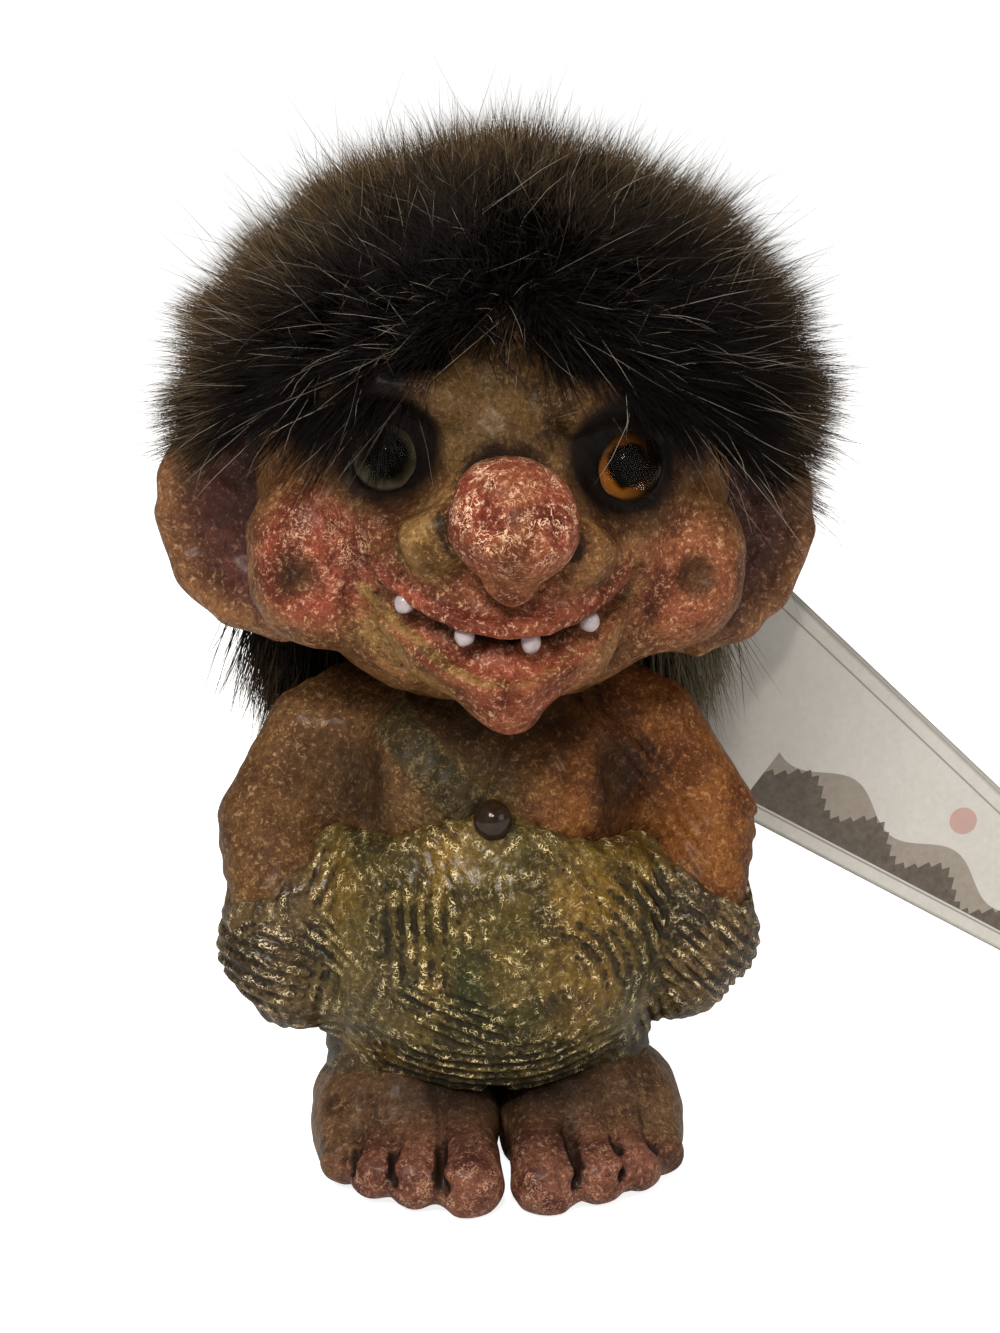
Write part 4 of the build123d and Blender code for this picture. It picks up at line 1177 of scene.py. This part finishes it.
def card(name, outline, front, back, material, body, hole=False):
    """A card: a grid between its lower and upper edges, each given as (along, height) points, with
    a slight curl. The two faces are joined round the rim."""
    lower, upper = outline
    columns, rows = 90, 40
    sheet = columns * rows
    long_way = np.linspace(lower[0][0], lower[-1][0], columns)
    bottom = np.interp(long_way, *zip(*lower))
    top = np.interp(long_way, *zip(*upper))
    share = np.linspace(0, 1, rows)
    u = np.repeat(long_way[:, None], rows, 1)
    v = bottom[:, None] + (top - bottom)[:, None] * share
    curl = 0.035 * np.sin(u * 0.11) * np.sin(share * np.pi)[None] + 0.02 * np.sin(u * 0.4 + v * 0.3)
    plane = PIN_PLACE + u[..., None] * TAG_ALONG + v[..., None] * TAG_UP
    first, second = plane.copy(), plane.copy()
    first[..., 1] = front + curl
    second[..., 1] = back + curl
    points = np.concatenate([first.reshape(-1, 3), second.reshape(-1, 3)])
    cells, sides = sheet_faces(columns, rows)
    if hole:
        from_pin = np.hypot(u, v).ravel()
        cells = cells[np.min(from_pin[cells], axis=1) > PIN_HOLE]
    faces = np.concatenate([cells, cells[:, ::-1] + sheet, sides])
    piece = mesh_piece(name, points, faces, material, body)
    mark(piece, "print_along", np.tile(u.ravel(), 2))
    mark(piece, "print_up", np.tile(v.ravel(), 2))
    from_ends = np.minimum(u - lower[0][0], lower[-1][0] - u)
    from_edges = np.minimum(v - bottom[:, None], top[:, None] - v)
    mark(piece, "rim_near", np.tile(np.minimum(from_ends, from_edges).ravel(), 2))
    mark(piece, "front_face", np.concatenate([np.ones(sheet), np.zeros(sheet)]))
    return piece


def card_material(name, printed):
    """Uncoated board: pale fibres, grubby cut edges, and on its front a frame line and a band of
    two rows of hills with firs, all worked out from the card's own length and height."""
    material, tree, shader = new_material(name)
    maths = maths_in(tree)
    fibre = noise_socket(tree, 900.0, Detail=4.0, Roughness=0.7)
    board = colour_mix(tree, fibre, (0.50, 0.49, 0.46, 1), (0.68, 0.67, 0.64, 1))
    clouded = maths("MULTIPLY", noise_socket(tree, 60.0), 0.35)
    board = colour_mix(tree, clouded, board, (0.36, 0.33, 0.29, 1))
    near = attribute(tree, "rim_near")
    if printed:
        along, up = attribute(tree, "print_along"), attribute(tree, "print_up")
        shown = attribute(tree, "front_face")
        line = maths("COMPARE", near, 2.2)
        line.node.inputs[2].default_value = 0.14
        frame_line = maths("MULTIPLY", maths("MULTIPLY", line, shown), 0.6)
        board = colour_mix(tree, frame_line, board, (0.10, 0.09, 0.08, 1))
        inside = maths("MULTIPLY", maths("GREATER_THAN", near, 2.6), shown)
        scene_start = maths("MULTIPLY", inside, maths("GREATER_THAN", along, 30.0))
        for colour, base, tall, pace, shift in (
            ((0.22, 0.18, 0.14, 1), 4.6, 1.8, 0.34, 0.0),
            ((0.060, 0.045, 0.032, 1), 1.4, 1.7, 0.52, 1.7),
        ):
            wave = maths("SINE", maths("ADD", maths("MULTIPLY", along, pace), shift))
            swell = maths("MULTIPLY", wave, tall)
            spikes = maths("MULTIPLY", maths("PINGPONG", along, 0.75), 1.3 if shift else 0.0)
            crest = maths("ADD", maths("ADD", swell, spikes), base)
            below = maths("MULTIPLY", maths("LESS_THAN", up, crest), scene_start)
            taken = maths("ADD", maths("MULTIPLY", fibre, 0.5), 0.55)
            ink = maths("MULTIPLY", below, taken, True)
            board = colour_mix(tree, ink, board, colour)
        sun_along = maths("POWER", maths("SUBTRACT", along, 58.0), 2.0)
        sun_up = maths("POWER", maths("SUBTRACT", up, 10.6), 2.0)
        from_sun = maths("POWER", maths("ADD", sun_along, sun_up), 0.5)
        sun = maths("MULTIPLY", maths("LESS_THAN", from_sun, 2.0), inside)
        board = colour_mix(tree, maths("MULTIPLY", sun, 0.5), board, (0.40, 0.09, 0.06, 1))
    grubby = maths("SUBTRACT", 1.0, maths("MULTIPLY", near, 1.6), True)
    board = colour_mix(tree, maths("MULTIPLY", grubby, 0.55), board, (0.12, 0.10, 0.08, 1))
    tree.links.new(board, shader.inputs["Base Color"])
    set_sockets(shader, Roughness=0.7)
    relief = tree.nodes.new("ShaderNodeBump")
    set_sockets(relief, Strength=0.25, Distance=0.0001)
    tree.links.new(fibre, relief.inputs["Height"])
    tree.links.new(relief.outputs["Normal"], shader.inputs["Normal"])
    return material


front_outline = (
    [(-3, -3.5), (10, -10.0), (76, -1.5)],
    [(-3, 3.5), (10, 23.4), (76, 14.9)],
)
back_outline = ([(10, -10.0), (76, -1.5)], [(10, 23.9), (76, 15.4)])
board_front, board_back = card_material("card_front", True), card_material("card_back", False)
front_leaf = card("tag_front_card", front_outline, 18.47, 18.78, board_front, "tag", True)
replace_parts(front_leaf, "tag_front_leaf")
back_leaf = card("tag_back_card", back_outline, 19.13, 19.42, board_back, "tag_flap")
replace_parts(back_leaf, "tag_back_leaf")


# --- Pieces inside ---------------------------------------------------------------------------
# Soft foam fills the head and body, a beech dowel joins the two, and a brass pin carries the tag.
# They keep their CAD meshes, and each gets a plain finish of its own.


foam = speckled("foam", (0.42, 0.38, 0.30, 1), (0.62, 0.58, 0.48, 1), 600.0, Roughness=0.9)
beech = speckled("beech", (0.42, 0.27, 0.14, 1), (0.58, 0.40, 0.22, 1), 250.0, Roughness=0.6)
brass = speckled(
    "pin_brass",
    (0.45, 0.30, 0.10, 1),
    (0.66, 0.47, 0.19, 1),
    700.0,
    Roughness=0.3,
    Metallic=1.0,
)
stocks = {"head_core": foam, "body_core": foam, "neck_dowel": beech, "tag_pin": brass}
for node, stock in stocks.items():
    refinish(node, stock)


# --- Wig -------------------------------------------------------------------------------------
# A pelt of black-brown fur glued to the scalp. The fur stands out all round and falls over the
# brow as a fringe. Its tips are golden brown, painted mostly on hairs that point sideways or back
# and seldom on those that point forward, a painted backlight at the outline. Longer pale guard
# hairs stand past it, and two long locks hang at the nape. The pelt's backing keeps its CAD mesh.


def strands(roots, heads, length, width, droop, curl, rng, shares=(0.0, 0.55, 1.0)):
    """Tapered three-sided hairs. Each runs from its root along its heading, bends by its droop
    towards the floor and by its own random curl, and closes to a point. Each share of its length
    but the last has a ring of three points."""
    count = len(roots)
    heads = heads / np.linalg.norm(heads, axis=1)[:, None]
    sway = np.clip(rng.normal(size=(count, 3)), -2, 2).astype(np.float32) * curl[:, None]
    sway[:, 2] -= droop
    side = np.cross(heads, rng.normal(size=(count, 3)))
    side /= np.maximum(np.linalg.norm(side, axis=1), 1e-6)[:, None]
    other = np.cross(heads, side)
    columns, along = [], []
    for share in shares:
        place = roots + length[:, None] * (share * heads + share * share * sway)
        for corner in range(3 if share < 1 else 1):
            turn = corner * 2 * np.pi / 3
            wide = width[:, None] * 0.5 * (1 - 0.75 * share) * (share < 1)
            columns.append(place + wide * (np.cos(turn) * side + np.sin(turn) * other))
            along.append(share)
    pattern = []
    for ring in range(0, 3 * (len(shares) - 2), 3):
        for corner in range(3):
            a, b = ring + corner, ring + (corner + 1) % 3
            pattern += [(a, b, b + 3), (a, b + 3, a + 3)]
    last = 3 * (len(shares) - 2)
    pattern += [(last + corner, last + (corner + 1) % 3, last + 3) for corner in range(3)]
    each = len(along)
    faces = np.array(pattern)[None] + (np.arange(count) * each)[:, None, None]
    points = np.stack(columns, 1).reshape(-1, 3)
    return points, faces.reshape(-1, 3), np.tile(np.array(along, np.float32), count)


def hair_material(name, darkest, lightest, tip, shine, sheen):
    """Fur: each hair has its own tone from the darkest to the lightest, and a share of a paler
    colour at its tip."""
    material, tree, shader = new_material(name)
    tone = attribute(tree, "tone")
    along = attribute(tree, "along")
    body = colour_mix(tree, tone, darkest, lightest)
    ends = tree.nodes.new("ShaderNodeMapRange")
    ends.interpolation_type = "SMOOTHSTEP"
    set_sockets(ends, From_Min=0.68, From_Max=1.0)
    tree.links.new(along, ends.inputs["Value"])
    gilt = maths_in(tree)("MULTIPLY", ends.outputs["Result"], attribute(tree, "gilt"))
    colour = colour_mix(tree, gilt, body, tip)
    tree.links.new(colour, shader.inputs["Base Color"])
    set_sockets(shader, Roughness=shine, Specular_IOR_Level=sheen)
    return material


fur_dark = hair_material(
    "fur_dark",
    (0.003, 0.002, 0.002, 1),
    (0.007, 0.005, 0.004, 1),
    (0.380, 0.240, 0.105, 1),
    shine=0.60,
    sheen=0.10,
)
fur_pale = hair_material(
    "fur_pale",
    (0.060, 0.045, 0.032, 1),
    (0.42, 0.37, 0.30, 1),
    (0.55, 0.47, 0.37, 1),
    shine=0.35,
    sheen=0.30,
)
fur_straw = hair_material(
    "fur_straw",
    (0.060, 0.050, 0.030, 1),
    (0.26, 0.22, 0.13, 1),
    (0.42, 0.36, 0.24, 1),
    shine=0.45,
    sheen=0.20,
)


GOLDEN_ANGLE = 2.399963


def scalp(count, rng):
    """Roots spread evenly over the skull above the hairline, with the way out at each. The
    hairline is a plane that leans back, and the fringe's middle is set higher."""
    turn = np.arange(count) * GOLDEN_ANGLE
    rise = 1 - 2 * (np.arange(count) + 0.5) / count
    flat = np.sqrt(1 - rise * rise)
    out = np.stack([flat * np.cos(turn), flat * np.sin(turn), rise], 1)
    out += rng.normal(size=out.shape) * 0.012
    out /= np.linalg.norm(out, axis=1)[:, None]
    lean = np.radians(3)
    across = out[:, 0] * np.cos(lean) - out[:, 2] * np.sin(lean)
    back = out[:, 1]
    height = out[:, 0] * np.sin(lean) + out[:, 2] * np.cos(lean)
    line = 0.50 - 0.36 * (back + 0.787) - 0.65 * np.maximum(back, 0) - 0.05 * np.abs(across)
    line += 0.24 * np.exp(-(((across - 0.02) / 0.31) ** 4)) * (back < 0)
    above = height - line + 0.03 * rng.normal(size=count)
    keep = above > 0
    return out[keep].astype(np.float32), above[keep]


def comb(out, above, rng, spread):
    """The heading of each hair: outwards, laid forward and down near the hairline in front, down
    at the temples and back, and scattered by its spread."""
    heads = out.copy()
    front = np.clip(-out[:, 1], 0, 1)
    near = np.clip(1 - above / 0.55, 0, 1)
    heads[:, 2] -= 0.95 * near * (0.35 + 0.65 * front)
    heads[:, 2] -= 0.25 * np.clip(0.35 - out[:, 2], 0, 1)
    heads[:, 1] -= 0.25 * front * near
    tuft = np.stack([noise(out * 31, 7.0, 51 + k) for k in range(3)], 1)
    gather = slope_of(lambda q: noise(q, 3.4, 55), (out * 31).astype(np.float32))
    return heads + 0.30 * tuft + 0.85 * gather + spread * rng.normal(size=out.shape)


def to_outline(roots, heads, centre, radius):
    """How far each hair runs from its root, along its heading, to the wig's outline: where its
    line meets a ball that is a little wider than it is high."""
    heads = heads / np.linalg.norm(heads, axis=1)[:, None]
    squeeze = np.array((0.945, 0.97, 1.0), np.float32)
    away = (roots - np.array(centre, np.float32)) * squeeze
    heads = heads * squeeze
    speed = (heads * heads).sum(1)
    along = (away * heads).sum(1) / speed
    inside = ((away * away).sum(1) - radius * radius) / speed
    return -along + np.sqrt(np.maximum(along * along - inside, 0))


def trimmed(roots, heads, length, furthest):
    """Hair lengths cut so that no tip at the back reaches past a plane behind the head."""
    backward = heads[:, 1] / np.linalg.norm(heads, axis=1)
    room = (furthest - roots[:, 1]) / np.maximum(backward, 0.1)
    return np.where(backward > 0.1, np.minimum(length, room), length)


CARD_PLANE = 19.0
CORNER_ACROSS, CORNER_UP = 36.7, 80.5


def clear_of_tag(roots, heads, length):
    """Which hairs stay out of the path of the tag, a flat card that swings behind the shoulder:
    those that pass above its upper edge, at its highest, or well before or behind its faces, and
    above the back leaf when it stands open behind that edge."""
    heads = heads / np.linalg.norm(heads, axis=1)[:, None]
    clear = np.ones(len(roots), bool)
    for share in (0.3, 0.5, 0.7, 0.85, 1.0):
        place = roots + share * length[:, None] * heads
        place[:, 2] -= share * share * 0.16 * length
        card_edge = CORNER_UP - 0.8 * np.maximum(place[:, 0] - CORNER_ACROSS, 0)
        between = (np.abs(place[:, 1] - CARD_PLANE) < 2.0 + 2.0 * share) & (place[:, 0] > 10)
        clear &= ~(between & (place[:, 2] < card_edge))
        leaf_top = card_edge + 1.0 + 0.2 * (place[:, 1] - CARD_PLANE)
        clear &= ~((place[:, 0] > 32) & (place[:, 1] > 18) & (place[:, 2] < leaf_top))
    return clear


def fur_piece(name, strand_set, tone, gilt, material):
    """One piece of hairs with the values that its material reads."""
    points, faces, along = strand_set
    each = len(points) // len(tone)
    piece = mesh_piece(name, points, faces, material)
    mark(piece, "along", along)
    mark(piece, "tone", np.repeat(tone, each))
    mark(piece, "gilt", np.repeat(gilt, each))
    return piece


SCALP_RADIUS = SKULL_RADIUS + 1.0
SCALP_MIDDLE = np.array(SKULL_MIDDLE, np.float32)
WIG_MIDDLE = (1.2, 2.0, 96.0)
BENDS = (0.0, 0.4, 0.75, 1.0)
FUR_ROOTS, GUARD_ROOTS, HAIRS_IN_PIECE = 230000, 5200, 20000
rng = np.random.default_rng(7)
out, above = scalp(FUR_ROOTS, rng)
roots = out * SCALP_RADIUS + SCALP_MIDDLE
heads = comb(out, above, rng, spread=0.13)
length = np.minimum(to_outline(roots, heads, WIG_MIDDLE, radius=43.0), 17.0)
tufts = 0.10 * noise(out * 31, 5.0, 61) + 0.16 * noise(out * 31, 3.4, 55)
length *= 0.94 + tufts + 0.11 * rng.normal(size=len(out))
length *= 0.85 + 0.15 * np.clip(above / 0.25, 0, 1)
length = trimmed(roots, heads, length, furthest=51.5)
stays = clear_of_tag(roots, heads, length)
out, above, roots, heads, length = (values[stays] for values in (out, above, roots, heads, length))
width = 0.17 + 0.05 * rng.random(len(out))
droop = 0.08 + 0.1 * rng.random(len(out))
# Golden tips mostly on hairs that point sideways or back: the fur's own tips with a painted
# backlight.
sideways_backlight = np.clip(1.1 - 2.4 * np.clip(-out[:, 1], 0, 1), 0, 1)
gilt = sideways_backlight * rng.random(len(out))
for start in range(0, len(out), HAIRS_IN_PIECE):
    span = slice(start, start + HAIRS_IN_PIECE)
    count = len(roots[span])
    curl = np.full(count, 0.08)
    hairs = strands(roots[span], heads[span], length[span], width[span], droop[span], curl, rng)
    name = f"wig_fur_{start // HAIRS_IN_PIECE + 1}"
    part = fur_piece(name, hairs, rng.random(count), gilt[span], fur_dark)
    if start == 0:
        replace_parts(part, "wig_fur")

out, above = scalp(GUARD_ROOTS, rng)
count = len(out)
roots = out * SCALP_RADIUS + SCALP_MIDDLE
heads = comb(out, above, rng, spread=0.30)
length = np.minimum(to_outline(roots, heads, WIG_MIDDLE, radius=45.5), 20.0)
length *= 0.85 + 0.38 * rng.random(count)
length = trimmed(roots, heads, length, furthest=49.5)
stays = clear_of_tag(roots, heads, length)
roots, heads, length = (values[stays] for values in (roots, heads, length))
count = len(roots)
droop = 0.05 + 0.2 * rng.random(count)
curl = np.full(count, 0.14)
hairs = strands(roots, heads, length, np.full(count, 0.15), droop, curl, rng, BENDS)
fur_piece("guard_hairs", hairs, rng.random(count) ** 2.2, rng.random(count) ** 2, fur_pale)


def lock(side, count, material, name, rng):
    """A nape lock: long hairs that start behind the ear and fall to the shoulder in a sheaf."""
    x = 23.6 if side > 0 else -24.4
    roots = np.array((x, 8.0, 80.0)) + rng.normal(size=(count, 3)) * (2.6, 2.6, 3.2)
    heads = np.array((side * 0.10, 0.18, -1.0)) + rng.normal(size=(count, 3)) * 0.13
    length = 20 + 4.0 * rng.random(count)
    width, droop, curl = np.full(count, 0.22), np.zeros(count), np.full(count, 0.06)
    hairs = strands(roots, heads, length, width, droop, curl, rng, BENDS)
    return fur_piece(name, hairs, rng.random(count), rng.random(count), material)


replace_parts(lock(-1, 3600, fur_dark, "left_nape_hair", rng), "left_nape_lock")
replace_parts(lock(1, 4200, fur_straw, "right_nape_hair", rng), "right_nape_lock")

pelt = speckled(
    "pelt_backing",
    (0.003, 0.002, 0.002, 1),
    (0.014, 0.010, 0.008, 1),
    1500.0,
    detail=2.0,
    Roughness=0.9,
)
refinish("wig_backing", pelt)
